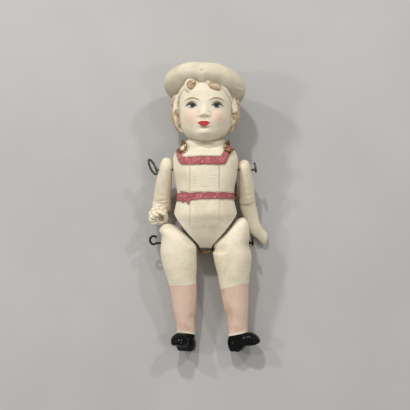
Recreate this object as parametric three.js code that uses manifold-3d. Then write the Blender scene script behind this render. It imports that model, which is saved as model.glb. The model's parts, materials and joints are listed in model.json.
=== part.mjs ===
// A small all-bisque doll, wire-jointed at the shoulders and hips, lying on its back.
// Head, hair, cap and romper are one casting with the body. Each arm and leg turns on a wire.
//
// Everything is drawn in the doll's own upright frame, in millimetres: x to the viewer's right,
// y up the body from the hip wire, z to the front. The doll is laid on its back at the end.

import * as THREE from 'three';
import { LoftGeometry } from 'three/addons/geometries/LoftGeometry.js';
import { mergeVertices } from 'three/addons/utils/BufferGeometryUtils.js';
import Module from 'manifold-3d';

const wasm = await Module();
wasm.setup();

// Driving sizes of the body casting
const crotchDrop = 1.8;
const bellyHeight = 11;
const bellyWidth = 22.8;
const bellyDepth = 8.6;
const seatDepth = 7.9;
const waistHeight = 17.5;
const waistWidth = 20.6;
const waistDepth = 7.8;
const shoulderHeight = 26.7;
const chestWidth = 23.6;
const chestDepth = 8.2;
const backDepth = 7;
const shoulderSlope = 4.6;
const neckHeight = 38.4;
const neckWidth = 12.8;
const neckDepth = 5.2;

// Driving sizes of the head, hair and cap
const chinHeight = 38.3;
const headHeight = 22.6;
const faceWidth = 20.2;
const faceDepth = 10.6;
const skullDepth = 11;
const hairWidth = 25.2;
const hairDepth = 12.2;
const hairDrop = 1.9;
const capWidth = 30;
const capDepth = 26;
const capHeight = 56.9;
const capRise = 7;
const capDrop = 5.6;
const curlRadius = 1.6;

// Driving sizes of the moulded trim
const trimRelief = 0.3;
const collarHeight = 29.2;
const collarWidth = 17.4;
const collarBand = 3;
const strapWidth = 2.6;
const beltBand = 2.9;

// Driving sizes of the arms, measured along the arm from the shoulder wire
const armWidth = 4.7;
const armDepth = 3.5;
const sleeveLength = 16;
const sleeveHem = 3.7;
const rightSleeveLength = 12.8;
const rightSleeveHem = 3.25;
const forearmWidth = 5.4;
const bentForearm = 7.2;
const fistRadius = 3.7;
const straightForearm = 7.4;
const mittenLength = 6.8;
const mittenTurn = 5.8;
const mittenLift = 3;
const armSpread = 0.075;
const rightArmSpread = 0.045;
const rightArmSlim = 0.88;

// Driving sizes of the legs, measured along the leg from the hip wire
const legLength = 39.4;
const thighWidth = 13.6;
const thighDepth = 6.5;
const calfWidth = 9.9;
const calfDepth = 5.2;
const ankleWidth = 7;
const ankleLength = 31;
const shoeLength = 12;
const shoeWidth = 5.6;
const shoeHeight = 7.1;
const heelHeight = 2.4;

// The two legs are hand-finished and differ a little
const leftLegShape = { offset: 10.25, lean: 0.098, girth: 0.97, rise: 7.2, shoeTurn: 27 };
const rightLegShape = { offset: 9.4, lean: 0.08, girth: 1.03, rise: 9.3, shoeTurn: 72 };

// Wires, holes and running gaps
const wireDiameter = 0.8;
const wireClearance = 0.3;
const hangerDiameter = 0.9;
const jointGap = 0.5;
const hipGap = 0.55;
const hipWeb = 4;
const seatGap = 0.3;

// How the doll lies: slopes in degrees from the table
const bodySlope = 5.5;
const legSlope = 6.6;
const bentArmSlope = 28;
const straightArmSlope = 25.5;

const chestHalf = chestWidth / 2;
const armSeat = chestHalf + jointGap;
const holeRadius = wireDiameter / 2 + wireClearance;
const degrees = Math.PI / 180;

// Solids: a closed three.js geometry becomes a manifold for joining and cutting

function toSolid(geometry, matrix = new THREE.Matrix4()) {
  const bare = new THREE.BufferGeometry();
  bare.setAttribute('position', geometry.attributes.position.clone());
  bare.setIndex(geometry.index ?? [...Array(geometry.attributes.position.count).keys()]);
  bare.applyMatrix4(matrix);
  const merged = mergeVertices(bare, 1e-4);
  const corners = merged.index.array;
  const faces = [];
  for (let i = 0; i < corners.length; i += 3) {
    const [a, b, c] = [corners[i], corners[i + 1], corners[i + 2]];
    if (a !== b && b !== c && c !== a) faces.push(a, b, c);
  }
  return new wasm.Manifold(new wasm.Mesh({
    numProp: 3,
    vertProperties: new Float32Array(merged.attributes.position.array),
    triVerts: new Uint32Array(faces),
  }));
}

function toGeometry(solid) {
  const mesh = solid.getMesh();
  const geometry = new THREE.BufferGeometry();
  geometry.setAttribute('position', new THREE.BufferAttribute(mesh.vertProperties, 3));
  geometry.setIndex(new THREE.BufferAttribute(mesh.triVerts, 1));
  geometry.computeVertexNormals();
  return geometry;
}

const joined = (solids) => solids.reduce((sum, solid) => sum.add(solid));
const placed = (x, y, z) => new THREE.Matrix4().makeTranslation(x, y, z);

// A smooth value through a list of stations, each with its own place along the form

function smoothValue(stations, key, at) {
  const last = stations.length - 1;
  let i = 0;
  while (i < last - 1 && at > stations[i + 1].at) i += 1;
  const slope = (k) => {
    const before = stations[Math.max(k - 1, 0)];
    const after = stations[Math.min(k + 1, last)];
    return (after[key] - before[key]) / (after.at - before.at);
  };
  const span = stations[i + 1].at - stations[i].at;
  const t = THREE.MathUtils.clamp((at - stations[i].at) / span, 0, 1);
  const bend = t * t * (3 - 2 * t);
  const rise = t * (1 - t) * (1 - t) * slope(i) * span;
  const fall = t * t * (t - 1) * slope(i + 1) * span;
  return stations[i][key] * (1 - bend) + stations[i + 1][key] * bend + rise + fall;
}

// One ring of a loft: an oval with its own front and back depth, square to the run of the form

function ovalRing(centre, along, oval, count) {
  const side = new THREE.Vector3(1, 0, 0).addScaledVector(along, -along.x).normalize();
  const back = new THREE.Vector3().crossVectors(along, side);
  const points = [];
  for (let k = 0; k < count; k += 1) {
    const angle = (k / count) * 2 * Math.PI;
    const across = Math.sign(Math.cos(angle)) * Math.abs(Math.cos(angle)) ** (2 / oval.power);
    const through = Math.sign(Math.sin(angle)) * Math.abs(Math.sin(angle)) ** (2 / oval.power);
    const depth = through > 0 ? oval.back : oval.front;
    points.push(centre.clone()
      .addScaledVector(side, oval.half * across)
      .addScaledVector(back, depth * through));
  }
  return points;
}

// A limb or trunk lofted through stations that give its centre, half width and depths

function loftedForm(stations, { rings, count, power = 2.2, relief = null }) {
  const first = stations[0].at;
  const reach = stations[stations.length - 1].at - first;
  const centreAt = (at) => new THREE.Vector3(
    smoothValue(stations, 'x', at),
    smoothValue(stations, 'y', at),
    smoothValue(stations, 'z', at),
  );
  const sections = [];
  for (let k = 0; k <= rings; k += 1) {
    const at = first + (reach * k) / rings;
    const along = centreAt(at + 0.05).sub(centreAt(at - 0.05)).normalize();
    const oval = {
      half: smoothValue(stations, 'half', at),
      front: smoothValue(stations, 'front', at),
      back: smoothValue(stations, 'back', at),
      power,
    };
    const ring = ovalRing(centreAt(at), along, oval, count);
    if (relief) ring.forEach(relief);
    sections.push(ring);
  }
  return new LoftGeometry(sections, { capStart: true, capEnd: true });
}

// The trunk from the crotch to the neck

const lowerCurve = (share, height) => Math.max(height, 0.01) ** share;

function trunkStations(grow = 0) {
  const lower = [0, 0.05, 0.14, 0.3, 0.5, 0.75].map((t) => ({
    at: THREE.MathUtils.lerp(-crotchDrop, bellyHeight, t) - grow * (1 - t),
    half: (bellyWidth / 2) * (0.86 + 0.14 * Math.min(1, 2 * t)) + grow,
    front: bellyDepth * lowerCurve(0.58, t) + grow,
    back: seatDepth * lowerCurve(0.45, t) + grow,
  }));
  const neckHalf = neckWidth / 2;
  const shoulderTop = neckHeight - shoulderSlope;
  const upper = [
    [bellyHeight, bellyWidth / 2, bellyDepth, seatDepth],
    [waistHeight, waistWidth / 2, waistDepth, backDepth * 0.9],
    [shoulderHeight, chestHalf - 0.02, chestDepth, backDepth],
    [shoulderTop - 2.4, chestHalf - 0.1, chestDepth * 0.93, backDepth * 0.98],
    [shoulderTop, chestHalf * 0.88, chestDepth * 0.81, backDepth * 0.92],
    [shoulderTop + shoulderSlope * 0.38, neckHalf * 1.32, chestDepth * 0.71, backDepth * 0.86],
    [shoulderTop + shoulderSlope * 0.75, neckHalf * 1.08, neckDepth * 1.04, neckDepth * 1.08],
    [neckHeight, neckHalf, neckDepth, neckDepth * 1.05],
    [neckHeight + 5.5, neckHalf * 0.95, neckDepth * 0.95, neckDepth],
  ].map(([at, half, front, back]) => (
    { at, half: half + grow, front: front + grow, back: back + grow }
  ));
  return [...lower, ...upper].map((station) => ({ ...station, x: 0, y: station.at, z: 0 }));
}

const trunkPower = 2.4;

function trunkSolid(grow = 0) {
  return toSolid(loftedForm(trunkStations(grow), { rings: 34, count: 28, power: trunkPower }));
}

// The depth of the trunk's surface at a point, in front (side +1) or behind (side -1)

function trunkSurface(x, y, side) {
  const stations = trunkStations();
  const half = smoothValue(stations, 'half', y);
  const depth = smoothValue(stations, side > 0 ? 'front' : 'back', y);
  const share = Math.min(Math.abs(x) / half, 0.98);
  return side * depth * (1 - share ** trunkPower) ** (1 / trunkPower);
}

// The hips: each thigh's conical top turns in a conical seat, both round about the hip wire.
// The seat is everything further out than its distance from the wire plus half the web.

function hipCone(side, clearance, reach) {
  const start = hipWeb / 2 + clearance;
  const profile = [
    new THREE.Vector2(0, start),
    new THREE.Vector2(hipWeb / 2 - 0.8, start),
    new THREE.Vector2(reach, start + reach - hipWeb / 2 + 0.8),
    new THREE.Vector2(0, start + reach - hipWeb / 2 + 0.8),
  ];
  const cone = new THREE.LatheGeometry(profile, 32);
  return toSolid(cone, new THREE.Matrix4().makeRotationZ(-side * Math.PI / 2));
}

// A round bar along x, for the wire holes

function barAlongX(from, to, radius, y = 0) {
  const bar = new THREE.CylinderGeometry(radius, radius, to - from, 16);
  const turned = new THREE.Matrix4().makeRotationZ(Math.PI / 2);
  return toSolid(bar, placed((from + to) / 2, y, 0).multiply(turned));
}

// The face: a soft relief on the front of the head, in hills and hollows

const faceShift = -0.4;
const eyeSpacing = 4.56;
const eyeHeight = 11.05;
const noseHeight = 8.3;
const mouthHeight = 5;

function faceHills() {
  const pair = (height, x, y, wide, tall) => [
    { height, x, y, wide, tall },
    { height, x: -x, y, wide, tall },
  ];
  const middle = (height, y, wide, tall) => [{ height, x: 0, y, wide, tall }];
  return [
    ...pair(0.3, eyeSpacing, eyeHeight + 2.3, 2.6, 0.9),
    ...pair(-0.85, eyeSpacing, eyeHeight + 0.2, 2.3, 1.7),
    ...pair(0.6, eyeSpacing, eyeHeight, 1.7, 1),
    ...middle(0.45, eyeHeight - 0.2, 0.95, 2.4),
    ...middle(1.4, noseHeight, 1.2, 1.3),
    ...pair(0.5, 1.3, noseHeight - 0.5, 0.75, 0.7),
    ...pair(0.8, 5.2, mouthHeight + 1.8, 2.6, 2.3),
    ...middle(0.7, mouthHeight + 0.2, 2.4, 1.5),
    ...middle(0.3, mouthHeight + 0.6, 1.8, 0.5),
    ...middle(0.35, mouthHeight - 0.6, 1.4, 0.5),
    ...middle(-0.35, mouthHeight - 1.6, 1.7, 0.55),
    ...middle(0.9, mouthHeight - 3.3, 2.3, 1.3),
  ];
}

function faceRelief(point) {
  const front = THREE.MathUtils.smoothstep(point.z, 0, faceDepth * 0.6);
  let rise = 0;
  for (const hill of faceHills()) {
    const dx = (point.x - faceShift - hill.x) / hill.wide;
    const dy = (point.y - chinHeight - hill.y) / hill.tall;
    rise += hill.height * Math.exp(-dx * dx - dy * dy);
  }
  point.z += rise * front;
}

function headSolid() {
  const shares = [
    [0, 0.26, 0.72, 0.2],
    [0.03, 0.48, 0.87, 0.5],
    [0.09, 0.68, 0.95, 0.75],
    [0.17, 0.83, 0.98, 0.9],
    [0.3, 0.95, 1, 0.98],
    [0.47, 1, 1, 1],
    [0.62, 1, 0.98, 1],
    [0.75, 0.97, 0.95, 0.96],
    [0.87, 0.85, 0.83, 0.84],
    [0.95, 0.62, 0.6, 0.62],
    [1, 0.2, 0.2, 0.2],
  ];
  const stations = shares.map(([rise, width, front, back]) => ({
    at: chinHeight + rise * headHeight,
    x: 0,
    y: chinHeight + rise * headHeight,
    z: 0,
    half: (faceWidth / 2) * width,
    front: faceDepth * front,
    back: skullDepth * back,
  }));
  return toSolid(loftedForm(stations, { rings: 25, count: 40, power: 2.15, relief: faceRelief }));
}

// The hair: a shell round the back and sides of the head, with curls along its front edge

const hairFront = hairDepth * 0.4;
const hairMiddle = (hairFront - hairDepth) / 2;
const hairPower = 2.2;

function hairStations() {
  const shares = [
    [0, 0.35, 0.4],
    [0.05, 0.66, 0.7],
    [0.14, 0.86, 0.88],
    [0.28, 0.98, 0.98],
    [0.48, 1, 1],
    [0.7, 0.97, 0.97],
    [0.9, 0.84, 0.84],
    [1, 0.5, 0.5],
  ];
  return shares.map(([rise, width, depth]) => ({
    at: chinHeight + hairDrop + rise * (headHeight - hairDrop * 2),
    x: 0,
    y: chinHeight + hairDrop + rise * (headHeight - hairDrop * 2),
    z: hairMiddle,
    half: (hairWidth / 2) * width,
    front: (hairFront - hairMiddle) * depth,
    back: (hairDepth + hairMiddle) * depth,
  }));
}

function hairSolid() {
  const waves = (point) => {
    const turn = Math.atan2(point.x, -point.z);
    const wave = 1 + 0.018 * Math.sin(9 * turn + point.y * 0.9);
    point.x *= wave;
    point.z = hairMiddle + (point.z - hairMiddle) * wave;
  };
  return toSolid(loftedForm(hairStations(), { rings: 12, count: 26, power: hairPower, relief: waves }));
}

const curlTilt = 28;

// One curl: an egg lying on the surface, its outer side turned by sweep degrees from the front

function curlSolid(x, y, z, size, sweep, tilt) {
  const curl = new THREE.SphereGeometry(curlRadius * size, 9, 6);
  const turned = new THREE.Matrix4().makeRotationY(sweep * degrees)
    .multiply(new THREE.Matrix4().makeRotationZ(tilt * degrees))
    .multiply(new THREE.Matrix4().makeScale(1.25, 0.85, 1));
  return toSolid(curl, placed(x, y, z).multiply(turned));
}

function sideCurls(side) {
  const stations = hairStations();
  const curls = [
    [66, 3.2, 1],
    [58, 5.7, 1.1],
    [60, 8.4, 1.15],
    [59, 11.2, 1.15],
    [56, 14, 1.1],
  ];
  return curls.map(([sweep, rise, size]) => {
    const y = chinHeight + rise;
    const half = smoothValue(stations, 'half', y);
    const front = smoothValue(stations, 'front', y);
    const x = side * half * Math.sin(sweep * degrees) ** (2 / hairPower);
    const z = hairMiddle + front * Math.cos(sweep * degrees) ** (2 / hairPower);
    return curlSolid(x, y, z, size, side * sweep, side * curlTilt);
  });
}

function foreheadCurls() {
  const curls = [
    [-0.25, 18.6, 1.15, 1.3],
    [0.16, 18.5, 1.35, 1.2],
    [0.42, 17.2, 1.1, 2.6],
    [-0.45, 16.8, 1, 2.8],
  ];
  return curls.map(([share, rise, size, sink]) => {
    const x = faceShift + (share * faceWidth) / 2 * 1.7;
    return curlSolid(x, chinHeight + rise, faceDepth - sink, size, share * 40, share * -40);
  });
}

// The cap: a soft tam, its crown full and rounded, pressed in a little at the front

const capTurn = -6;
const capLean = -25;

function capSolid() {
  const half = [];
  const steps = 11;
  for (let k = 0; k <= steps; k += 1) {
    const angle = -Math.PI / 2 + (Math.PI * k) / steps;
    const radius = Math.cos(angle) ** 0.78;
    const rise = Math.sign(Math.sin(angle)) * Math.abs(Math.sin(angle)) ** 0.9;
    half.push(new THREE.Vector2(k === 0 || k === steps ? 0 : radius, rise * (rise > 0 ? capRise : capDrop)));
  }
  const crown = new THREE.LatheGeometry(half, 30);
  crown.scale(capWidth / 2, 1, capDepth / 2);
  const place = crown.attributes.position;
  for (let i = 0; i < place.count; i += 1) {
    const [x, y, z] = [place.getX(i), place.getY(i), place.getZ(i)];
    const front = THREE.MathUtils.smoothstep(z, 2, capDepth / 2);
    const dent = Math.exp(-(((x + 1) / 3.4) ** 2)) * front;
    const lifted = y < 0 ? y * (1 - 0.28 * front) : y;
    place.setXYZ(i, x, lifted - dent * 0.6 * THREE.MathUtils.smoothstep(y, 0, 5), z - dent * 0.5);
  }
  const turned = new THREE.Matrix4().makeRotationFromEuler(
    new THREE.Euler(capLean * degrees, 0, capTurn * degrees),
  );
  return toSolid(crown, placed(-0.35, capHeight, (faceDepth - skullDepth) / 2 - 0.9).multiply(turned));
}

// Moulded trim: an outline seen from the front, raised on the trunk's own surface

function raisedTrim(outline) {
  const slab = new THREE.ExtrudeGeometry(outline, { depth: chestDepth * 2, bevelEnabled: false });
  return toSolid(slab).intersect(trunkSolid(trimRelief));
}

function collarSolid() {
  const half = collarWidth / 2;
  const shoulder = collarHeight + shoulderSlope + collarBand - 0.6;
  const collar = new THREE.Shape();
  collar.moveTo(-half - 0.4, collarHeight - collarBand / 2);
  collar.lineTo(half, collarHeight - collarBand / 2);
  collar.quadraticCurveTo(half + strapWidth * 0.8, collarHeight, half + strapWidth * 0.9, shoulder);
  collar.lineTo(half - 0.3, shoulder + 0.8);
  collar.quadraticCurveTo(half - 0.9, collarHeight + 2, half - 1.6, collarHeight + collarBand / 2);
  collar.lineTo(1.2 - half, collarHeight + collarBand / 2);
  collar.quadraticCurveTo(0.2 - half, collarHeight + 2.2, 0.3 - half, shoulder);
  collar.lineTo(-half - strapWidth * 0.9, shoulder - 1.4);
  collar.quadraticCurveTo(-half - strapWidth * 0.9, collarHeight, -half - 0.4, collarHeight - collarBand / 2);
  return raisedTrim(collar);
}

function beltSolid() {
  const reach = waistWidth;
  const belt = new THREE.Shape();
  belt.moveTo(-reach, waistHeight - beltBand / 2 + 0.9);
  belt.quadraticCurveTo(0, waistHeight - beltBand / 2 - 0.7, reach, waistHeight - beltBand / 2 + 0.9);
  belt.lineTo(reach, waistHeight + beltBand / 2 + 0.9);
  belt.quadraticCurveTo(0, waistHeight + beltBand / 2 - 0.7, -reach, waistHeight + beltBand / 2 + 0.9);
  return raisedTrim(belt);
}

function bowSolids() {
  const knotX = -7.2;
  const knotZ = trunkSurface(knotX, waistHeight, 1);
  const lobes = [
    [0, 0.3, 1.1, 1.3, 0],
    [-1.2, 1.5, 1, 1.5, 35],
    [0.9, -2, 0.8, 2, 20],
    [-1.4, -1.8, 0.8, 1.7, -15],
  ];
  return lobes.map(([dx, dy, wide, tall, turn]) => {
    const lobe = new THREE.SphereGeometry(1, 8, 6);
    const shape = placed(knotX + dx, waistHeight + dy, knotZ - 0.1)
      .multiply(new THREE.Matrix4().makeRotationZ(turn * degrees))
      .multiply(new THREE.Matrix4().makeScale(wide, tall, 0.65));
    return toSolid(lobe, shape);
  });
}

function bodyCasting() {
  const reach = bellyWidth;
  const casting = joined([
    trunkSolid(),
    headSolid(),
    hairSolid(),
    ...sideCurls(-1),
    ...sideCurls(1),
    ...foreheadCurls(),
    capSolid(),
    collarSolid(),
    beltSolid(),
    ...bowSolids(),
  ]);
  return casting
    .subtract(hipCone(-1, 0, reach))
    .subtract(hipCone(1, 0, reach))
    .subtract(barAlongX(-chestWidth, chestWidth, holeRadius, shoulderHeight))
    .subtract(barAlongX(-chestWidth, chestWidth, holeRadius));
}

const leftSleeve = { spread: armSpread, slim: 1, length: sleeveLength, hem: sleeveHem };
const rightSleeve = {
  spread: rightArmSpread, slim: rightArmSlim, length: rightSleeveLength, hem: rightSleeveHem,
};

// The arms, drawn with the shoulder wire at the origin and the hand downward. Side is -1 or +1.

function sleeveStations(side, { spread, slim, length, hem }) {
  const inner = armSeat;
  const rows = [
    [-0.28, 0.1, 0.12],
    [-0.26, 0.5, 0.5],
    [-0.16, 0.88, 0.85],
    [0, 1, 1],
    [0.3, 1.14, 1.03],
    [0.55, 1.3, 1.03],
    [0.8, 1.45, 1.05],
    [1, (2 * hem) / armWidth, hem / armDepth],
  ];
  return rows.reverse().map(([share, width, depth]) => {
    const half = (armWidth / 2) * width * THREE.MathUtils.lerp(slim, 1, Math.max(share, 0));
    const drop = share * length;
    const lead = share < 0 ? inner + armWidth * slim * 0.42 : inner + half + drop * spread;
    return {
      at: -drop, x: side * lead, y: -drop, z: 0, half, front: armDepth * depth, back: armDepth * depth,
    };
  });
}

function sleeveSolid(side, sleeve) {
  return toSolid(loftedForm(sleeveStations(side, sleeve), { rings: 13, count: 16 }));
}

// The flat inner face that lies against the shoulder, and the wire hole through the arm

function seatedArm(arm, side) {
  const slab = new THREE.BoxGeometry(armWidth * 4, sleeveLength * 6, sleeveLength * 6);
  const inside = toSolid(slab, placed(side * (armSeat - armWidth * 2), 0, 0));
  const hole = barAlongX(-chestWidth * 2, chestWidth * 2, holeRadius);
  return arm.subtract(inside).subtract(hole);
}

function bentArm() {
  const wrist = forearmWidth / 2;
  const elbow = -(armSeat + sleeveHem + 0.4);
  const rows = [
    [0, 0.78, 0, 0.9, 0],
    [0.375, 0.96, 0.04, 0.98, 0.19],
    [0.75, 1.02, 0.45, 0.96, 0.3],
    [1, 1.02, 0.75, 1, 0.33],
  ];
  const stations = rows.map(([at, drop, rise, size, lean]) => ({
    at: at * bentForearm,
    x: elbow - lean * wrist,
    y: -sleeveLength * drop,
    z: bentForearm * rise,
    half: wrist * size,
    front: wrist * size,
    back: wrist * size,
  }));
  const fist = new THREE.SphereGeometry(fistRadius, 14, 10);
  const fistPlace = placed(elbow - fistRadius * 0.24, -sleeveLength, bentForearm)
    .multiply(new THREE.Matrix4().makeScale(1.02, 0.86, 0.8));
  const thumb = new THREE.SphereGeometry(1, 8, 6);
  const thumbPlace = placed(elbow + fistRadius * 0.43, -sleeveLength * 0.97, bentForearm * 1.23)
    .multiply(new THREE.Matrix4().makeRotationZ(-35 * degrees))
    .multiply(new THREE.Matrix4().makeScale(fistRadius * 0.32, fistRadius * 0.59, fistRadius * 0.35));
  return seatedArm(joined([
    sleeveSolid(-1, leftSleeve),
    toSolid(loftedForm(stations, { rings: 6, count: 12 })),
    toSolid(fist, fistPlace),
    toSolid(thumb, thumbPlace),
  ]), -1);
}

function straightArm() {
  const hem = armSeat + forearmWidth * 0.55;
  const wrist = -rightSleeveLength - straightForearm;
  const tip = wrist - mittenLength;
  const palm = forearmWidth / 2;
  const rows = [
    [tip, mittenTurn, palm * 0.22, palm * 0.15, mittenLift],
    [tip + mittenLength * 0.1, mittenTurn * 0.97, palm * 0.7, palm * 0.37, mittenLift * 0.97],
    [tip + mittenLength * 0.33, mittenTurn * 0.93, palm * 0.89, palm * 0.6, mittenLift * 0.87],
    [tip + mittenLength * 0.68, mittenTurn * 0.8, palm, palm * 0.7, mittenLift * 0.73],
    [wrist, mittenTurn * 0.6, palm * 0.8, palm * 0.7, mittenLift * 0.53],
    [wrist + straightForearm * 0.4, mittenTurn * 0.36, palm * 0.87, palm * 0.89, mittenLift * 0.27],
    [-rightSleeveLength * 1.16, mittenTurn * 0.22, palm * 0.92, palm * 0.93, 0],
    [-rightSleeveLength * 0.84, mittenTurn * 0.12, palm * 0.95, palm * 0.95, 0],
  ];
  const stations = rows.map(([y, out, half, depth, z]) => (
    { at: y, x: hem + out, y, z, half, front: depth, back: depth }
  ));
  const thumb = new THREE.SphereGeometry(1, 8, 6);
  const thumbPlace = placed(hem + palm * 0.74, wrist - mittenLength * 0.24, mittenLift * 1.05)
    .multiply(new THREE.Matrix4().makeRotationZ(30 * degrees))
    .multiply(new THREE.Matrix4().makeScale(palm * 0.32, palm * 0.76, palm * 0.36));
  return seatedArm(joined([
    sleeveSolid(1, rightSleeve),
    toSolid(loftedForm(stations, { rings: 14, count: 14 })),
    toSolid(thumb, thumbPlace),
  ]), 1);
}

// The legs, drawn with the hip wire at the origin and the shoe downward

// A heeled shoe along its own length: a row holds the share of the length, the width,
// the height of the top line and the height of the sole over the heel's flat face

function shoeSolid(turn, ankleX) {
  const heelBack = -shoeLength * 0.31;
  const rows = [
    [0, 0.4, 0.6, heelHeight * 1.3],
    [0.035, 0.8, 0.69, heelHeight * 0.7],
    [0.12, 1.08, 0.74, 0],
    [0.25, 1.2, 0.76, 0],
    [0.4, 1.18, 0.78, 0],
    [0.5, 1.1, 0.86, heelHeight * 0.55],
    [0.58, 1.04, 0.93, heelHeight * 0.86],
    [0.7, 1.06, 0.98, heelHeight * 0.92],
    [0.82, 1, 0.91, heelHeight],
    [0.92, 0.8, 0.78, heelHeight * 1.14],
    [0.975, 0.5, 0.67, heelHeight * 1.3],
    [1, 0.2, 0.6, heelHeight * 1.5],
  ];
  const sections = rows.map(([share, width, top, low]) => {
    const z = heelBack + share * shoeLength;
    const high = shoeHeight * top;
    const middle = low + (high - low) * 0.45;
    const points = [];
    const count = 14;
    for (let k = 0; k < count; k += 1) {
      const angle = (k / count) * 2 * Math.PI;
      const across = Math.sign(Math.cos(angle)) * Math.abs(Math.cos(angle)) ** 0.8;
      const height = Math.sin(angle);
      const y = height > 0 ? middle + (high - middle) * height : middle + (middle - low) * height * 1.5;
      points.push(new THREE.Vector3((across * shoeWidth * width) / 2, Math.max(y, low), z));
    }
    return points;
  });
  const shoe = toSolid(new LoftGeometry(sections, { capStart: true, capEnd: true }));
  return shoe.transform(placed(ankleX, -legLength, 0).multiply(new THREE.Matrix4().makeRotationY(turn)).elements);
}

const ankleAt = (side, shape) => side * shape.offset + shape.lean * ankleLength;

function legSolid(side, shape) {
  const { offset, lean, girth, rise } = shape;
  const swing = (drop) => side * offset + lean * drop;
  const thigh = (thighWidth / 2) * girth;
  const calf = (calfWidth / 2) * girth;
  const ankle = (ankleWidth / 2) * girth;
  const outer = side * (offset + thigh * 0.58);
  const hipRows = [
    [-rise, outer, 0.5, 0.6],
    [0.6 - rise, outer - side * 0.25, 13 / rise, 2.2],
    [2.4 - rise, outer - side * 1.1, 27 / rise, 4.4],
    [-hipWeb * 0.6, outer - side * 2.8, thigh * 0.78, thighDepth * 0.88],
    [hipWeb * 0.12, side * (offset - 0.3), thigh * 0.96, thighDepth * 0.97],
  ];
  const legRows = [
    [0.13, thigh, thighDepth],
    [0.27, thigh * 0.93, thighDepth * 0.97],
    [0.4, thigh * 0.82, thighDepth * 0.9],
    [0.58, calf, calfDepth],
    [0.78, calf * 0.865, calfDepth * 0.88],
    [0.89, calf * 0.755, calfDepth * 0.76],
    [1, ankle, ankleWidth / 2],
  ].map(([share, wide, deep]) => [share * ankleLength, swing(share * ankleLength), wide, deep]);
  const shoeRows = [
    [legLength - shoeHeight * 0.7, swing(ankleLength), ankle * 0.97, ankleWidth * 0.47],
    [legLength - shoeHeight * 0.4, swing(ankleLength), ankle * 0.8, ankleWidth * 0.4],
  ];
  const stations = [...hipRows, ...legRows, ...shoeRows].reverse().map(([drop, x, wide, deep]) => (
    { at: -drop, x, y: -drop, z: 0, half: wide, front: deep, back: deep }
  ));
  const limb = toSolid(loftedForm(stations, { rings: 22, count: 18 }));
  const shelf = -(crotchDrop + hipGap + 0.35);
  const above = new THREE.BoxGeometry(bellyWidth * 3, rise * 4, thighDepth * 6);
  const upperRoom = toSolid(above, placed(side * bellyWidth * 1.5, shelf + rise * 2, 0));
  const room = upperRoom.subtract(hipCone(side, hipGap * Math.SQRT2, bellyWidth));
  return limb
    .subtract(room)
    .add(shoeSolid(side * shape.shoeTurn * degrees, ankleAt(side, shape)))
    .subtract(barAlongX(-bellyWidth * 2, bellyWidth * 2, holeRadius));
}

// Wires: a straight run, an open eye at the left and a loop bent flat against the limb at the right

function wireAlong(points, diameter, steps) {
  const section = new THREE.Shape().absarc(0, 0, diameter / 2, 0, 2 * Math.PI);
  const path = new THREE.CatmullRomCurve3(points, false, 'centripetal');
  return new THREE.ExtrudeGeometry(section, {
    steps, extrudePath: path, bevelEnabled: false, curveSegments: 4,
  });
}

function arcPoints(from, to, place) {
  const points = [];
  const turns = 10;
  for (let k = 0; k <= turns; k += 1) {
    const angle = (from + ((to - from) * k) / turns) * degrees;
    points.push(place(Math.cos(angle), Math.sin(angle)));
  }
  return points;
}

function openEye(start, eye) {
  const lead = [new THREE.Vector3(1.4 - start, 0, 0), new THREE.Vector3(0.5 - start, 0, 0)];
  const loop = arcPoints(eye.from, eye.to, (across, up) => (
    new THREE.Vector3(-(start + eye.half - eye.half * across), eye.lift - eye.tall * up, 0)
  ));
  return wireAlong([...lead, ...loop], wireDiameter, 16);
}

const flatLoopFrom = -60;
const flatLoopTo = 215;

function flatLoop(start, radius) {
  const lead = [new THREE.Vector3(start - 2, 0, 0), new THREE.Vector3(start - 0.75, 0, 0)];
  const loop = arcPoints(flatLoopFrom, flatLoopTo, (up, back) => (
    new THREE.Vector3(start, radius * 0.5 - radius * up, radius * 0.87 + radius * back)
  ));
  return wireAlong([...lead, ...loop], wireDiameter, 16);
}

function jointWire(leftStart, rightStart, eye) {
  const rod = [
    new THREE.Vector3(-leftStart + 0.5, 0, 0),
    new THREE.Vector3(rightStart - 1.2, 0, 0),
  ];
  return joined([
    toSolid(wireAlong(rod, wireDiameter, 1)),
    toSolid(openEye(leftStart, eye)),
    toSolid(flatLoop(rightStart, eye.loop)),
  ]);
}

const limbStandoff = wireClearance + wireDiameter / 2;
const shoulderEye = { half: 1.35, tall: 2.7, lift: 0.6, from: -12, to: 285, loop: 1.5 };
const hipEye = { half: 1.35, tall: 1.9, lift: 1.2, from: 50, to: 290, loop: 1.2 };
const shoulderWireReach = armSeat + armWidth + 0.85;
const thighReach = (shape) => shape.offset + (thighWidth / 2) * shape.girth;
const hipWireReach = thighReach(leftLegShape) + 0.5;
const rightArmReach = armSeat + armWidth * rightArmSlim + 0.45;

// The hanger: one brass wire hooked over both shoulders, down the back and round the crotch

function shoulderCrest(x) {
  const stations = trunkStations();
  let y = neckHeight;
  while (y > shoulderHeight && smoothValue(stations, 'half', y) < x) y -= 0.1;
  return y;
}

const hookX = 8.5;
const hookSize = 1.7;
const hookRise = 1.65;
const leftStrandBow = 1.1;
const rightStrandBow = 1.22;

// A point at a distance off the trunk's surface, in front (side +1) or behind (side -1)

function offTrunk(x, y, side, off) {
  const stations = trunkStations();
  const half = smoothValue(stations, 'half', y);
  const depth = smoothValue(stations, side > 0 ? 'front' : 'back', y);
  const z = trunkSurface(x, y, side);
  const outward = new THREE.Vector3(
    (Math.sign(x) * (Math.abs(x) / half) ** (trunkPower - 1)) / half,
    0,
    (side * (Math.abs(z) / depth) ** (trunkPower - 1)) / depth,
  ).normalize();
  return new THREE.Vector3(x, y, z).addScaledVector(outward, off);
}

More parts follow.
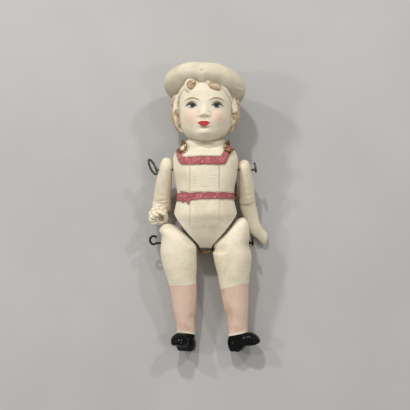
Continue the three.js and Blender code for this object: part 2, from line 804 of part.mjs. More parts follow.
function hangerSolid() {
  const off = seatGap + hangerDiameter / 2;
  const over = off + trimRelief + 0.1;
  const crest = shoulderCrest(hookX);
  const behind = (x, y) => offTrunk(x, y, -1, off);
  const before = (x, y) => offTrunk(x, y, 1, over);
  const strand = (side, bow) => [
    before(side * (hookX + hookSize * 0.5), crest - hookSize * 0.75),
    before(side * (hookX - hookSize * 0.2), crest - hookSize * 1.35),
    before(side * (hookX - hookSize), crest - hookSize * 0.8),
    new THREE.Vector3(side * (hookX - hookSize * 0.75), crest + hookSize * 0.2, chestDepth * 0.55 + over),
    new THREE.Vector3(side * (hookX - 0.2), crest + hookRise * 0.85, chestDepth * 0.3),
    new THREE.Vector3(side * hookX, crest + hookRise, 0.3),
    new THREE.Vector3(side * hookX, crest - hookSize * 0.4, -backDepth * 0.63 - off),
    behind(side * hookX, crest - shoulderSlope),
    behind(side * hookX * (bow - 0.04), (crest + waistHeight) / 2 - hookSize),
    behind(side * hookX * bow, waistHeight),
    behind(side * hookX, bellyHeight),
    behind(side * hookX * 0.66, bellyHeight * 0.45),
    behind(side * hookX * 0.32, bellyHeight * 0.13),
    new THREE.Vector3(side * hipWeb * 0.42, -crotchDrop - off - 0.15, -hipWeb * 0.3),
  ];
  const route = [...strand(-1, leftStrandBow), ...strand(1, rightStrandBow).reverse()];
  return toSolid(wireAlong(route, hangerDiameter, 64));
}

// Materials

const finish = (color, roughness, metalness = 0) => (
  new THREE.MeshStandardMaterial({ color, roughness, metalness })
);

function named(name, solid, material) {
  const mesh = new THREE.Mesh(toGeometry(solid), material);
  mesh.name = name;
  return mesh;
}

// Assembly: limbs hang on their wires, and the whole doll lies on its back

const bisque = 0xe2d8c0;
const doll = new THREE.Group();
const body = new THREE.Group();
body.rotation.x = bodySlope * degrees;
doll.add(body);
body.add(named('head_torso', bodyCasting(), finish(bisque, 0.8)));
body.add(named('brass_hanger', hangerSolid(), finish(0xa67c35, 0.35, 1)));

const shoulderWire = named(
  'shoulder_wire',
  jointWire(shoulderWireReach, rightArmReach + limbStandoff, shoulderEye),
  finish(0x6b6660, 0.5, 1),
);
shoulderWire.position.y = shoulderHeight;
const hipWire = named(
  'hip_wire',
  jointWire(hipWireReach, thighReach(rightLegShape) + limbStandoff, hipEye),
  finish(0x2b2826, 0.6, 1),
);
body.add(shoulderWire, hipWire);

function hung(mesh, height, slope) {
  const pivot = new THREE.Group();
  pivot.position.y = height;
  pivot.rotation.x = (slope - bodySlope) * degrees;
  pivot.add(mesh);
  body.add(pivot);
}

hung(named('arm_left', bentArm(), finish(bisque, 0.8)), shoulderHeight, bentArmSlope);
hung(named('arm_right', straightArm(), finish(bisque, 0.8)), shoulderHeight, straightArmSlope);
const stocking = finish(0xd9bda9, 0.75);
hung(named('leg_left', legSolid(-1, leftLegShape), stocking), 0, legSlope);
hung(named('leg_right', legSolid(1, rightLegShape), stocking.clone()), 0, legSlope);

// The origin is the middle of the doll's footprint, on the table

doll.updateMatrixWorld(true);
const extent = new THREE.Box3().setFromObject(doll, true);
const middle = extent.getCenter(new THREE.Vector3());
doll.position.set(-middle.x, -middle.y, -extent.min.z);
doll.updateMatrixWorld(true);

export default doll;
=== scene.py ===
"""The finished look of a small all-bisque doll, wire-jointed and lying on its back."""

import json
import math
from typing import NamedTuple

import bpy
import numpy as np
from bpy.props import FloatProperty, FloatVectorProperty, IntProperty, PointerProperty
from mathutils import Matrix, Vector


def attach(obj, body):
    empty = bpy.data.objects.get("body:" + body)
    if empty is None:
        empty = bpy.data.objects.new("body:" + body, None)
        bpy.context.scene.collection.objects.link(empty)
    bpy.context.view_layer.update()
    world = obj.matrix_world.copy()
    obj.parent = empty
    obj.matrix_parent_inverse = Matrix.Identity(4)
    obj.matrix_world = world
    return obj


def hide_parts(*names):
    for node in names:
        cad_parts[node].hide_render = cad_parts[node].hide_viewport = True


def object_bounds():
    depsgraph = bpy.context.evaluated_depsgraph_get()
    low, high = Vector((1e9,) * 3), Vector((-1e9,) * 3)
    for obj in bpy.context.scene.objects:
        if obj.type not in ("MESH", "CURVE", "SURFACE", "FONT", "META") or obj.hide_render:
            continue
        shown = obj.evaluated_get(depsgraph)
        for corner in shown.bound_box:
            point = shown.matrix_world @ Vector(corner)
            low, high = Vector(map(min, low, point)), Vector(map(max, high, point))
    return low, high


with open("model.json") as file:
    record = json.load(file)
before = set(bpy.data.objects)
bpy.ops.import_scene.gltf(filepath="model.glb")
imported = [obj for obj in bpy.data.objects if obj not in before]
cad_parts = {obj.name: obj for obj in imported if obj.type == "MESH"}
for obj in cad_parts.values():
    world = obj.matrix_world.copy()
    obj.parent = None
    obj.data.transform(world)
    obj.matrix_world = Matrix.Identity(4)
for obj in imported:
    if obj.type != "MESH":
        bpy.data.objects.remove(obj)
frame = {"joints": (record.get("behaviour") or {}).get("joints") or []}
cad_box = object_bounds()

bl_info = {
    "name": "Bisque doll",
    "version": (1, 0, 0),
    "blender": (4, 5, 0),
    "location": "3D View > Sidebar > Bisque doll",
    "description": "Models and paints a small wire-jointed bisque doll over its jointed frame",
    "category": "Object",
}

MM = 0.001
JOINT_PLACES = {joint["name"]: Vector(joint["pos_m"]) for joint in frame["joints"]}
SHOULDER = JOINT_PLACES["left_shoulder"]
HIP = JOINT_PLACES["left_hip"]
SHOULDER_RISE = (SHOULDER - HIP).length / MM
BODY_SLOPE = math.atan2(SHOULDER.z - HIP.z, SHOULDER.y - HIP.y)


# Settings: sizes in metres, colours as they look on screen


def length(millimetres, description="", least=0.0):
    return FloatProperty(
        description=description, default=millimetres * MM, min=least, unit="LENGTH", precision=5,
    )


def slope(degrees, description=""):
    return FloatProperty(
        description=description, default=math.radians(degrees), subtype="ANGLE",
    )


def share(default, description):
    return FloatProperty(
        description=description, default=default, min=0.0, max=1.0, subtype="FACTOR",
    )


def times(default, description):
    return FloatProperty(description=description, default=default, min=0.0)


def to_linear(channel):
    value = channel / 255
    return value / 12.92 if value <= 0.04045 else ((value + 0.055) / 1.055) ** 2.4


def colour(red, green, blue, description=""):
    return FloatVectorProperty(
        description=description, subtype="COLOR", size=3, min=0.0, max=1.0,
        default=tuple(to_linear(channel) for channel in (red, green, blue)),
    )


class DollBodySizes(bpy.types.PropertyGroup):
    """Sizes of the body casting"""
    clay_step: length(0.275, "Spacing of the samples that the forms are skinned from")
    crotch_drop: length(1.8, "How far the body reaches below the hip wire")
    belly_height: length(11.0, "Height of the widest place of the belly")
    belly_width: length(22.8)
    belly_depth: length(8.6, "Depth of the belly in front of the wires")
    seat_depth: length(7.9, "Depth of the seat behind the wires")
    waist_height: length(17.5, "Height of the belt")
    waist_width: length(20.6, "Width at the belt")
    waist_depth: length(7.8, "Depth in front at the belt")
    chest_width: length(23.6, "Width of the chest between the arms")
    chest_depth: length(8.2)
    back_depth: length(7.0)
    shoulder_slope: length(4.6, "How far the shoulders fall from the neck")
    neck_height: length(38.4, "Height of the top of the neck")
    neck_width: length(12.8)
    neck_depth: length(5.2, "Half depth of the neck")
    trim_relief: length(0.3, "How far the collar and the belt stand proud")
    collar_band: length(2.9, "Height of the collar band")
    belt_band: length(2.9, "Height of the belt")
    hip_web: length(4.0, "Bisque left between the hip seats at the wire")
    hole_radius: length(0.7, "Radius of the wire holes")


class DollHeadSizes(bpy.types.PropertyGroup):
    """Sizes of the head, hair and cap"""
    chin_height: length(38.3, "Height of the chin above the hip wire")
    head_height: length(22.6, "Height of the head under the cap")
    face_width: length(20.2)
    face_depth: length(10.6, "Depth of the face in front of the neck")
    skull_depth: length(11.0, "Depth of the skull behind the neck")
    hair_width: length(25.2)
    hair_depth: length(12.2, "Depth of the hair behind the neck")
    hair_drop: length(1.9, "Height of the bottom of the hair above the chin")
    eye_spacing: length(4.56, "Distance of each eye from the middle of the face")
    eye_height: length(11.0, "Height of the eyes above the chin")
    nose_height: length(8.3, "Height of the tip of the nose above the chin")
    mouth_height: length(4.8, "Height of the mouth above the chin")
    cap_width: length(30.0)
    cap_depth: length(26.0, "Depth of the cap, front to back")
    cap_height: length(56.9, "Height of the middle of the cap above the hip wire")
    cap_rise: length(6.7, "Fullness of the crown")
    cap_drop: length(5.6, "Fullness under the rim")
    cap_lean: slope(-25.0, "How far the cap leans back")
    cap_turn: slope(-6.0, "How far the cap dips to one side")


class DollLimbSizes(bpy.types.PropertyGroup):
    """Sizes of the arms and legs, measured from the wire that each turns on"""
    arm_width: length(4.7, "Width of an arm at the shoulder wire")
    arm_depth: length(3.5, "Half depth of an arm at the shoulder wire")
    sleeve_length: length(16.0, "Length of the bent arm's sleeve")
    sleeve_hem: length(3.7, "Half width of the bent arm's sleeve at the elbow")
    right_sleeve_length: length(12.8, "Length of the straight arm's sleeve")
    forearm_width: length(5.4)
    bent_forearm: length(7.2, "How far the bent forearm reaches forward")
    fist_radius: length(3.7)
    straight_forearm: length(7.4, "Length of the straight forearm")
    mitten_length: length(8.0, "Length of the straight arm's hand")
    mitten_turn: length(5.8, "How far the hand turns outward")
    mitten_lift: length(3.0, "How far the hand lifts forward")
    joint_gap: length(0.5, "Gap between an arm and the chest")
    hip_gap: length(0.55, "Gap between a thigh and its seat")
    hip_wear: length(0.8, "Bisque rubbed off a thigh's seat")
    leg_length: length(39.4, "Length from the hip wire to the heel")
    thigh_width: length(13.6)
    thigh_depth: length(6.5, "Half depth of a thigh")
    calf_width: length(9.9)
    calf_depth: length(5.2, "Half depth of a calf")
    ankle_width: length(7.0)
    ankle_length: length(31.0, "Length from the hip wire to the ankle")
    shoe_length: length(12.0)
    shoe_width: length(5.6)
    shoe_height: length(7.1, "Height of a shoe over its heel's flat face")
    heel_height: length(2.4, "Height of the front sole over the heel's flat face")
    stocking_length: length(15.1, "Length from the hip wire to the stocking's top")
    left_arm_slope: slope(28.0, "Slope of the bent arm from the table")
    right_arm_slope: slope(25.5, "Slope of the straight arm from the table")
    leg_slope: slope(6.6, "Slope of the legs from the table")


class DollWireSizes(bpy.types.PropertyGroup):
    """Sizes of the three wires"""
    wire_width: length(0.8, "Thickness of the shoulder and hip wires")
    hanger_width: length(0.9, "Thickness of the brass hanger")
    seat_gap: length(0.3, "Gap between the hanger and the body")
    stand_off: length(0.7, "Distance of a bent wire end from its limb")
    hook_place: length(8.5, "Distance of each hanger hook from the middle")
    hook_size: length(1.7, "Size of the hanger's hooks")
    hook_rise: length(1.65, "How far the hanger stands over the shoulders")
    left_bow: times(1.1, "Outward bow of the left strand")
    right_bow: times(1.22, "Outward bow of the right strand")
    sides: IntProperty(description="Sides of a wire's section", default=20, min=6)


class LegShape(NamedTuple):
    """How each leg, finished by hand, differs from the other, in millimetres and radians.

    Its side, distance from the middle line, lean outward per millimetre of drop, share of
    the girth, and rise of the thigh over the wire. How far out the thigh's top lies, in half
    widths, and the calf's shift to the right. The drop and tilt of the shelf cut at the
    inner top, the turn of the shoe, the slants of the stocking's top on its left and right,
    and the place of its stain.
    """
    side: int
    offset: float
    lean: float
    girth: float
    rise: float
    top_out: float
    calf_shift: float
    shelf_drop: float
    shelf_tilt: float
    turn: float
    slants: tuple
    stain: tuple

    def middle(self, drop):
        """The x of the leg's own middle, at a drop from the wire."""
        return self.side * self.offset + self.lean * drop


LEG_SHAPES = {
    "left": LegShape(
        side=-1, offset=10.25, lean=0.098, girth=0.97, rise=7.2, top_out=0.53, calf_shift=0.45,
        shelf_drop=0.35, shelf_tilt=0.2, turn=math.radians(-27), slants=(0.05, 0.05),
        stain=(-7.4, -31.0),
    ),
    "right": LegShape(
        side=1, offset=9.4, lean=0.08, girth=1.03, rise=9.3, top_out=0.58, calf_shift=-0.2,
        shelf_drop=1.3, shelf_tilt=-0.05, turn=math.radians(72), slants=(0.33, 0.1),
        stain=(8.2, -25.3),
    ),
}


class DollPaint(bpy.types.PropertyGroup):
    """Colours of the bisque and its paint"""
    bisque: colour(232, 221, 197, "Unglazed bisque")
    bisque_shade: colour(205, 190, 160, "Warm staining of the bisque")
    # The colour of specks, pores and stains, and of the darkening in the hollows
    grime: colour(128, 112, 84, "Dirt in the hollows")
    # Olive-grey over the whole cap, deepened as painted shade under its rim
    cap_shade: colour(182, 174, 150, "Olive-grey shading on the cap")
    hair: colour(200, 168, 126, "Wash of tan paint on the hair")
    hair_dark: colour(116, 86, 52, "Tan paint where it pools in the hair")
    blush: colour(226, 158, 142, "Cheeks")
    lips: colour(190, 20, 36)
    brow: colour(150, 116, 88, "Brows and creases over the eyes")
    lash: colour(26, 24, 24, "Upper lash line and pupils")
    eye_white: colour(188, 188, 178)
    left_iris: colour(78, 70, 50, "Iris at the viewer's left")
    right_iris: colour(62, 76, 84, "Iris at the viewer's right")
    trim: colour(168, 74, 80, "Collar and belt")
    trim_dark: colour(104, 40, 46, "Rose paint where it pools")
    stain: colour(158, 122, 82, "Brown stain on a stocking")
    # Near-black in the hip seats: old dirt, and painted shade of the deep joint gaps
    seat_dirt: colour(52, 44, 30, "Old dirt rubbed into the hip seats")
    # Lighter rose: painted highlights for the collar's moulded scrolls
    trim_light: colour(216, 140, 144, "Rose paint rubbed thin on the raised scrolls")
    stocking: colour(216, 184, 165)
    stocking_shade: colour(188, 150, 126, "Browner paint on the stockings")
    shoe: colour(9, 9, 10, "Glossy black shoes")
    wear: share(0.5, "How worn and dirty the doll is")


class DollWireColours(bpy.types.PropertyGroup):
    """Colours of the wires"""
    iron: colour(96, 92, 86, "Dull iron wire")
    iron_dull: colour(58, 54, 48, "Where the iron has dulled")
    black_iron: colour(38, 35, 32, "Blackened iron wire")
    soot: colour(16, 14, 13, "The blackest places of the iron")
    brass: colour(172, 142, 88)
    tarnish: colour(62, 50, 30, "Tarnished brass")


class DollStage(bpy.types.PropertyGroup):
    """The table, lamps and camera"""
    table: colour(183, 181, 178, "Plain grey table")
    view_width: length(149.5, "Width of the view at the doll")
    view_distance: length(460.0, "Distance of the camera from the doll")
    view_side: length(-0.2, "Middle of the view beside the doll's middle line", least=-1.0)
    view_height: length(13.85, "Middle of the view above the hip wire")
    lamp_distance: length(700.0, "Distance of the lamps from the doll")
    lamp_size: length(50.0, "Width of each lamp")
    light_level: times(1.0, "Strength of all the light")
    fill_portion: share(0.4, "Share of the light that comes from all round")


class DollSettings(bpy.types.PropertyGroup):
    """All settings of the doll"""
    body: PointerProperty(type=DollBodySizes)
    head: PointerProperty(type=DollHeadSizes)
    limbs: PointerProperty(type=DollLimbSizes)
    wires: PointerProperty(type=DollWireSizes)
    paint: PointerProperty(type=DollPaint)
    wire_colours: PointerProperty(type=DollWireColours)
    stage: PointerProperty(type=DollStage)


class Millimetres:
    """Reads a group of sizes in millimetres, and its angles as they are."""

    def __init__(self, group):
        self.group = group

    def __getattr__(self, name):
        value = getattr(self.group, name)
        is_length = self.group.bl_rna.properties[name].unit == "LENGTH"
        return value / MM if is_length else value


# Clay: forms are joined and cut as signed distances on a grid, then skinned

# The distance that empty clay holds, how far round the wire a seat is worked out, and the
# samples' spacing on a limb, as a share of the body's
FAR_OFF = 6.0
SEAT_REACH = 40
ARM_FINENESS = 0.72
LEG_FINENESS = 0.85
# The low and high corners of each block of clay, from the wire it hangs on
BODY_BLOCK = (-16.8, -2.6, -16.0), (15.8, 66.6, 17.2)
LEFT_ARM_BLOCK = (-23, -21, -5.5), (-11, 6.5, 13)
RIGHT_ARM_BLOCK = (11, -30, -5.5), (25, 5.5, 8.5)


class Form(NamedTuple):
    """A signed distance and the box that it is worked out in."""
    distance: object
    low: tuple
    high: tuple


def soft_step(value, low, high):
    t = np.clip((value - low) / (high - low), 0, 1)
    return t * t * (3 - 2 * t)


def bump(value, width):
    return np.exp(-((value / width) ** 2))


def soft_max(first, second, blend):
    """The greater of two distances, rounded where they meet."""
    mix = np.clip(0.5 + 0.5 * (first - second) / blend, 0, 1)
    return second + (first - second) * mix + blend * mix * (1 - mix)


class Clay:
    """A block of clay that forms are added to and cut from."""

    def __init__(self, low, high, step):
        self.step = step
        self.low = np.array(low, float)
        counts = np.ceil((np.array(high) - self.low) / step).astype(int) + 1
        self.axes = [self.low[k] + step * np.arange(counts[k]) for k in range(3)]
        self.field = np.full(counts, FAR_OFF, np.float32)
        self.layers = {}

    def region(self, low, high, margin):
        """Slices and coordinates of the samples in a box."""
        slices, places = [], []
        for k in range(3):
            first = max(0, math.floor((low[k] - margin - self.low[k]) / self.step))
            last = math.ceil((high[k] + margin - self.low[k]) / self.step) + 1
            last = min(len(self.axes[k]), last)
            slices.append(slice(first, max(last, first)))
            shape = [1, 1, 1]
            shape[k] = -1
            places.append(self.axes[k][slices[k]].reshape(shape))
        return tuple(slices), places

    def grid(self):
        """The coordinates of all the samples, ready to be worked on together."""
        return np.meshgrid(*self.axes, indexing="ij", sparse=True)

    def layer(self, name):
        if name not in self.layers:
            self.layers[name] = np.full(self.field.shape, FAR_OFF, np.float32)
        return self.layers[name]

    def add(self, form, blend, layer=None):
        slices, places = self.region(form.low, form.high, blend + 2 * self.step)
        distance = form.distance(*places)
        self.field[slices] = -soft_max(-distance, -self.field[slices], blend)
        if layer:
            painted = self.layer(layer)
            painted[slices] = np.minimum(painted[slices], distance)

    def cut(self, form, blend):
        slices, places = self.region(form.low, form.high, blend + 2 * self.step)
        self.field[slices] = soft_max(-form.distance(*places), self.field[slices], blend)

    def raise_skin(self, low, high, relief):
        """Moves the skin outward by a relief worked out from x, y and z."""
        slices, places = self.region(low, high, 0)
        self.field[slices] -= relief(*places)

    def sample(self, values, points):
        place = (points - self.low) / self.step
        base = np.clip(place.astype(int), 0, np.array(values.shape) - 2)
        part = place - base
        total = np.zeros(len(points))
        for corner in np.ndindex(2, 2, 2):
            weight = np.prod(np.where(corner, part, 1 - part), axis=1)
            total += weight * values[tuple((base + corner).T)]
        return total

    def surface(self, x, y):
        """The z of the skin at a place seen from the front."""
        column = np.arange(self.axes[2][0], self.axes[2][-1], 0.05)[::-1]
        points = np.stack([np.full_like(column, x), np.full_like(column, y), column], 1)
        inside = np.nonzero(self.sample(self.field, points) < 0)[0]
        return float(column[inside[0]]) if len(inside) else 0.0

    def hollowness(self):
        """A blurred field: below zero at a hollow in the skin, above it on a ridge."""
        soft = self.field.clip(-3, 3)
        for axis in range(3):
            for _ in range(2):
                soft = 0.25 * (np.roll(soft, 1, axis) + np.roll(soft, -1, axis)) + 0.5 * soft
        return soft

    def skin(self):
        """Four-sided faces of the zero surface, and a point in each cell that it crosses."""
        field = self.field
        inside = field < 0
        corners = np.array(list(np.ndindex(2, 2, 2)))
        counts = np.array(field.shape) - 1
        filled = np.zeros(counts, np.int8)
        for i, j, k in corners:
            filled += inside[i:i + counts[0], j:j + counts[1], k:k + counts[2]]
        cells = np.argwhere((filled > 0) & (filled < 8))
        index = np.full(counts, -1, np.int64)
        index[tuple(cells.T)] = np.arange(len(cells))
        values = np.stack([field[tuple((cells + corner).T)] for corner in corners], 1)
        total = np.zeros((len(cells), 3))
        hits = np.zeros((len(cells), 1))
        for a in range(8):
            for b in range(a + 1, 8):
                step = corners[b] - corners[a]
                if np.abs(step).sum() != 1:
                    continue
                crossed = (values[:, a] < 0) != (values[:, b] < 0)
                start, end = values[crossed, a], values[crossed, b]
                total[crossed] += corners[a] + (start / (start - end))[:, None] * step
                hits[crossed] += 1
        points = self.low + self.step * (cells + total / hits)
        faces = []
        for axis in range(3):
            ahead = np.roll(inside, -1, axis)
            edges = np.argwhere(inside != ahead)
            one, two = np.eye(3, dtype=int)[[(axis + 1) % 3, (axis + 2) % 3]]
            kept = edges[:, axis] < counts[axis]
            for other in (one, two):
                place = edges @ other
                kept &= (place > 0) & (place < counts @ other)
            edges = edges[kept]
            moves = (0 * one, one, one + two, two)
            quad = np.stack([index[tuple((edges - move).T)] for move in moves], 1)
            outward = inside[tuple(edges.T)]
            faces.append(np.where(outward[:, None], quad, quad[:, ::-1]))
        return points, np.concatenate(faces)


def ball(centre, radii, turn=0.0):
    """An ellipsoid, turned about the front-to-back axis."""
    radii = np.broadcast_to(np.array(radii, float), 3)
    reach = np.array([max(radii[0], radii[1])] * 2 + [radii[2]])
    cosine, sine = math.cos(turn), math.sin(turn)

    def distance(x, y, z):
        x, y, z = x - centre[0], y - centre[1], z - centre[2]
        gaps = (cosine * x + sine * y, cosine * y - sine * x, z)
        near = np.sqrt(sum((gap / radius) ** 2 for gap, radius in zip(gaps, radii)))
        far = np.sqrt(sum((gap / radius ** 2) ** 2 for gap, radius in zip(gaps, radii)))
        return near * (near - 1) / np.maximum(far, 1e-6)

    return Form(distance, np.array(centre) - reach, np.array(centre) + reach)


def cord(points, radii):
    """A rounded run through points, with a radius at each."""
    points = np.array(points, float)
    radii = np.broadcast_to(np.array(radii, float), len(points))

    def distance(x, y, z):
        nearest = None
        for a, b, from_radius, to_radius in zip(points, points[1:], radii, radii[1:]):
            run = b - a
            gap = (x - a[0], y - a[1], z - a[2])
            along = np.clip(sum(gap[k] * run[k] for k in range(3)) / (run @ run), 0, 1)
            away = np.sqrt(sum((gap[k] - run[k] * along) ** 2 for k in range(3)))
            away = away - (from_radius + (to_radius - from_radius) * along)
            nearest = away if nearest is None else np.minimum(nearest, away)
        return nearest

    reach = radii.max()
    return Form(distance, points.min(0) - reach, points.max(0) + reach)


def station_value(stations, column, at):
    """A smooth value through stations, whose first column is their place along the form."""
    knots, values = stations[:, 0], stations[:, column]
    slopes = np.concatenate([
        [(values[1] - values[0]) / (knots[1] - knots[0])],
        (values[2:] - values[:-2]) / (knots[2:] - knots[:-2]),
        [(values[-1] - values[-2]) / (knots[-1] - knots[-2])],
    ])
    i = np.clip(np.searchsorted(knots, at, side="right") - 1, 0, len(knots) - 2)
    span = knots[i + 1] - knots[i]
    t = np.clip((at - knots[i]) / span, 0, 1)
    bend = t * t * (3 - 2 * t)
    rise = t * (1 - t) ** 2 * slopes[i] * span
    fall = t * t * (t - 1) * slopes[i + 1] * span
    return values[i] * (1 - bend) + values[i + 1] * bend + rise + fall


def ovals(stations, power, round_end, warp=None):
    """A form of ovals across y. Each station holds y, x, z, half width, front and back depth.

    A power of 2 draws ellipses, and a higher one squares their corners.
    """
    stations = np.array(sorted(stations, key=lambda row: row[0]), float)

    def distance(x, y, z):
        if warp:
            z = z - warp(x, y, z)
        middle_x, middle_z, half, front, back = (
            station_value(stations, column, y) for column in range(1, 6)
        )
        across = np.maximum(np.abs(x - middle_x), 1e-3)
        through = z - middle_z
        depth = np.where(through > 0, front, back)
        rounded = ((across / half) ** power + (np.abs(through) / depth) ** power) ** (1 / power)
        side = np.sqrt(across ** 2 + through ** 2) * (1 - 1 / rounded)
        return soft_max(np.maximum(stations[0, 0] - y, y - stations[-1, 0]), side, round_end)

    wide, deep = stations[:, 3].max() + 1, stations[:, 4:].max() + 1
    low = (stations[:, 1].min() - wide, stations[0, 0], stations[:, 2].min() - deep)
    high = (stations[:, 1].max() + wide, stations[-1, 0], stations[:, 2].max() + deep)
    return Form(distance, low, high)


def moved(distance, matrix, reach):
    """A form placed by a matrix, worked out in a box that reaches all round its place."""
    back = np.array(matrix.inverted())
    place = np.array(matrix.translation)

    def moved_distance(x, y, z):
        return distance(*(
            back[k, 0] * x + back[k, 1] * y + back[k, 2] * z + back[k, 3] for k in range(3)
        ))

    return Form(moved_distance, place - reach, place + reach)


def by_the_wire(distance):
    """A form with no end of its own, worked out round the wire."""
    return Form(distance, [-SEAT_REACH] * 3, [SEAT_REACH] * 3)


def laid(origin, angle):
    """The place of a limb's own millimetres: hung at a wire, sloping from the table."""
    return Matrix.Translation(origin) @ Matrix.Rotation(angle, 4, "X") @ Matrix.Scale(MM, 4)


BODY_PLACE = laid(HIP, BODY_SLOPE)


def placed(name, data):
    """A new object in the scene that shows a mesh, curve, lamp or camera."""
    made = bpy.data.objects.new(name, data)
    bpy.context.scene.collection.objects.link(made)
    return made


def make_piece(name, mesh, body, replaced):
    piece = placed(name, mesh)
    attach(piece, body)
    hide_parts(replaced)


def piece_from_clay(name, clay, place, body, replaced, material):
    """Skins the clay, stores its hollows and paint edges on the points, and makes it a piece."""
    points, faces = clay.skin()
    mesh = bpy.data.meshes.new(name)
    turned = points @ np.array(place.to_3x3()).T + np.array(place.translation)
    mesh.from_pydata(turned.tolist(), [], faces.tolist())
    mesh.polygons.foreach_set("use_smooth", np.ones(len(faces), bool))
    values = {"hollow": clay.sample(clay.hollowness(), points)}
    for layer, field in clay.layers.items():
        values[layer] = clay.sample(np.broadcast_to(field, clay.field.shape), points)
    for label, numbers in values.items():
        layer = mesh.attributes.new(label, "FLOAT", "POINT")
        layer.data.foreach_set("value", numbers.astype(np.float32))
    mesh.materials.append(material)
    make_piece(name, mesh, body, replaced)


# The body casting

TRUNK_POWER = 2.4
TIP_SHARE = 0.01


def trunk_stations(body):
    """The trunk from the crotch to the neck: y, x, z, half width, front and back depth."""
    t = np.array([0, 0.05, 0.14, 0.3, 0.5, 0.75])
    lower = zip(
        -body.crotch_drop + (body.belly_height + body.crotch_drop) * t,
        body.belly_width / 2 * (0.86 + 0.14 * np.minimum(1, 2 * t)),
        body.belly_depth * np.maximum(t, TIP_SHARE) ** 0.58,
        body.seat_depth * np.maximum(t, TIP_SHARE) ** 0.45,
    )
    chest, neck, slope = body.chest_width / 2, body.neck_width / 2, body.shoulder_slope
    front, back, throat = body.chest_depth, body.back_depth, body.neck_depth
    top = body.neck_height - slope
    upper = [
        (body.belly_height, body.belly_width / 2, body.belly_depth, body.seat_depth),
        (body.waist_height, body.waist_width / 2, body.waist_depth, back * 0.9),
        (SHOULDER_RISE, chest - 0.02, front, back),
        (top - 2.4, chest - 0.1, front * 0.93, back * 0.98),
        (top, chest * 0.88, front * 0.81, back * 0.92),
        (top + slope * 0.38, neck * 1.32, front * 0.71, back * 0.86),
        (top + slope * 0.75, neck * 1.08, throat * 1.04, throat * 1.08),
        (body.neck_height, neck, throat, throat * 1.05),
        (body.neck_height + 5.5, neck * 0.95, throat * 0.95, throat),
    ]
    return [(y, 0, 0, half, front, back) for y, half, front, back in [*lower, *upper]]


def path_distance(x, y, path):
    """Distance in the front view to a path of points."""
    nearest = None
    for (ax, ay), (bx, by) in zip(path, path[1:]):
        run_x, run_y = bx - ax, by - ay
        along = ((x - ax) * run_x + (y - ay) * run_y) / (run_x ** 2 + run_y ** 2)
        along = np.clip(along, 0, 1)
        away = np.hypot(x - ax - along * run_x, y - ay - along * run_y)
        nearest = away if nearest is None else np.minimum(nearest, away)
    return nearest


# Outlines and places in the front view, in millimetres from the hip wire

COLLAR_FRONT = [
    (-10.7, 36), (-10.75, 33.8), (-10.4, 31.8), (-9.6, 29.6), (-8.7, 28.45), (-6, 28.3),
    (0, 28.45), (4, 28.3), (6.9, 28.5), (7.5, 29.4), (8.2, 31), (9.0, 32.6), (9.5, 34.2),
    (9.6, 36), (7.4, 36), (7.0, 34), (6.2, 32.6), (5.3, 31.35), (2, 31.5), (-3, 31.4),
    (-7.9, 31.15), (-8.7, 32.2), (-9.1, 34), (-9.1, 36),
]
COLLAR_BACK = [(-10.4, 34.6), (-8.6, 31.4), (8.0, 31.4), (8.8, 34.6)]
COLLAR_MIDDLE = 29.9
BOW = [
    (-10.4, 17.6), (-9.1, 17.9), (-8.5, 19.4), (-7.9, 18.2), (-6.9, 18.8), (-6.2, 18.0),
    (-4.5, 17.9), (-4.5, 15.9), (-5.5, 15.4), (-6.1, 13.7), (-6.9, 15.1), (-7.5, 15.2),
    (-8.1, 14.3), (-8.7, 15.3), (-10.4, 15.6),
]
BOW_KNOT = (-7.4, 16.9)
SEAM_LEFT, SEAM_RIGHT, SEAM_RIGHT_LOW = -5.6, 4.85, 19.5
BACK_OPENING = 8.0, 29.5
ROMPER_LOW, ROMPER_HIGH = 5.5, 28.4
CHEST_TUCK = 20.4
BUTTONS = [(-3.45, 13.6 - 1.3 * k) for k in range(5)] + [
    (-4.1, 24.5), (-4.1, 23.4), (-4.1, 22.3), (2.7, 25.2), (2.7, 23.8), (2.7, 22.4),
]
TUCKS = [(at_x, top - 1.25 * k) for at_x, top in ((4.2, 14.6), (5.9, 14.8)) for k in range(5)]
BACK_BUTTONS = [(-1.5, 27.0), (-1.5, 22.6), (-1.5, 12.6)]


def inside_outline(x, y, outline):
    """How far inside a closed outline a place is in the front view, below zero outside it."""
    closed = [*outline, outline[0]]
    crossings = np.zeros(np.broadcast(x, y).shape, bool)
    for (ax, ay), (bx, by) in zip(closed, closed[1:]):
        crosses = (ay > y) != (by > y)
        crossings ^= crosses & (x < ax + (y - ay) * (bx - ax) / ((by - ay) or 1e-9))
    return np.where(crossings, 1, -1) * path_distance(x, y, closed)


def collar_edge(body, x, y, z):
    """How far inside the collar band a place is, in the front or the back view."""
    ragged = 0.1 * np.sin(4.3 * x + 1.0) * np.sin(2.1 * x - 3 * y)
    back = body.collar_band / 2 - path_distance(x, y, COLLAR_BACK)
    return np.where(z > 0, inside_outline(x, y, COLLAR_FRONT) + ragged, back)


def belt_line(body, x):
    return body.waist_height - 0.55 + 0.022 * x + 0.3 * np.cos(x * 0.16)


def belt_edge(body, x, y, z):
    """How far inside the belt or its bow a place is; the front's edge is pricked by points."""
    points = 0.14 * np.abs(np.sin(3.1 * x + 0.8)) + 0.08 * np.sin(1.3 * x + 2 * y)
    away = np.abs(y - belt_line(body, x)) + np.where(z > 0, 0.1 - points, 0)
    belt = body.belt_band / 2 - 0.14 - 0.012 * x - away
    return np.maximum(belt, np.where(z > 0, inside_outline(x, y, BOW), -3))


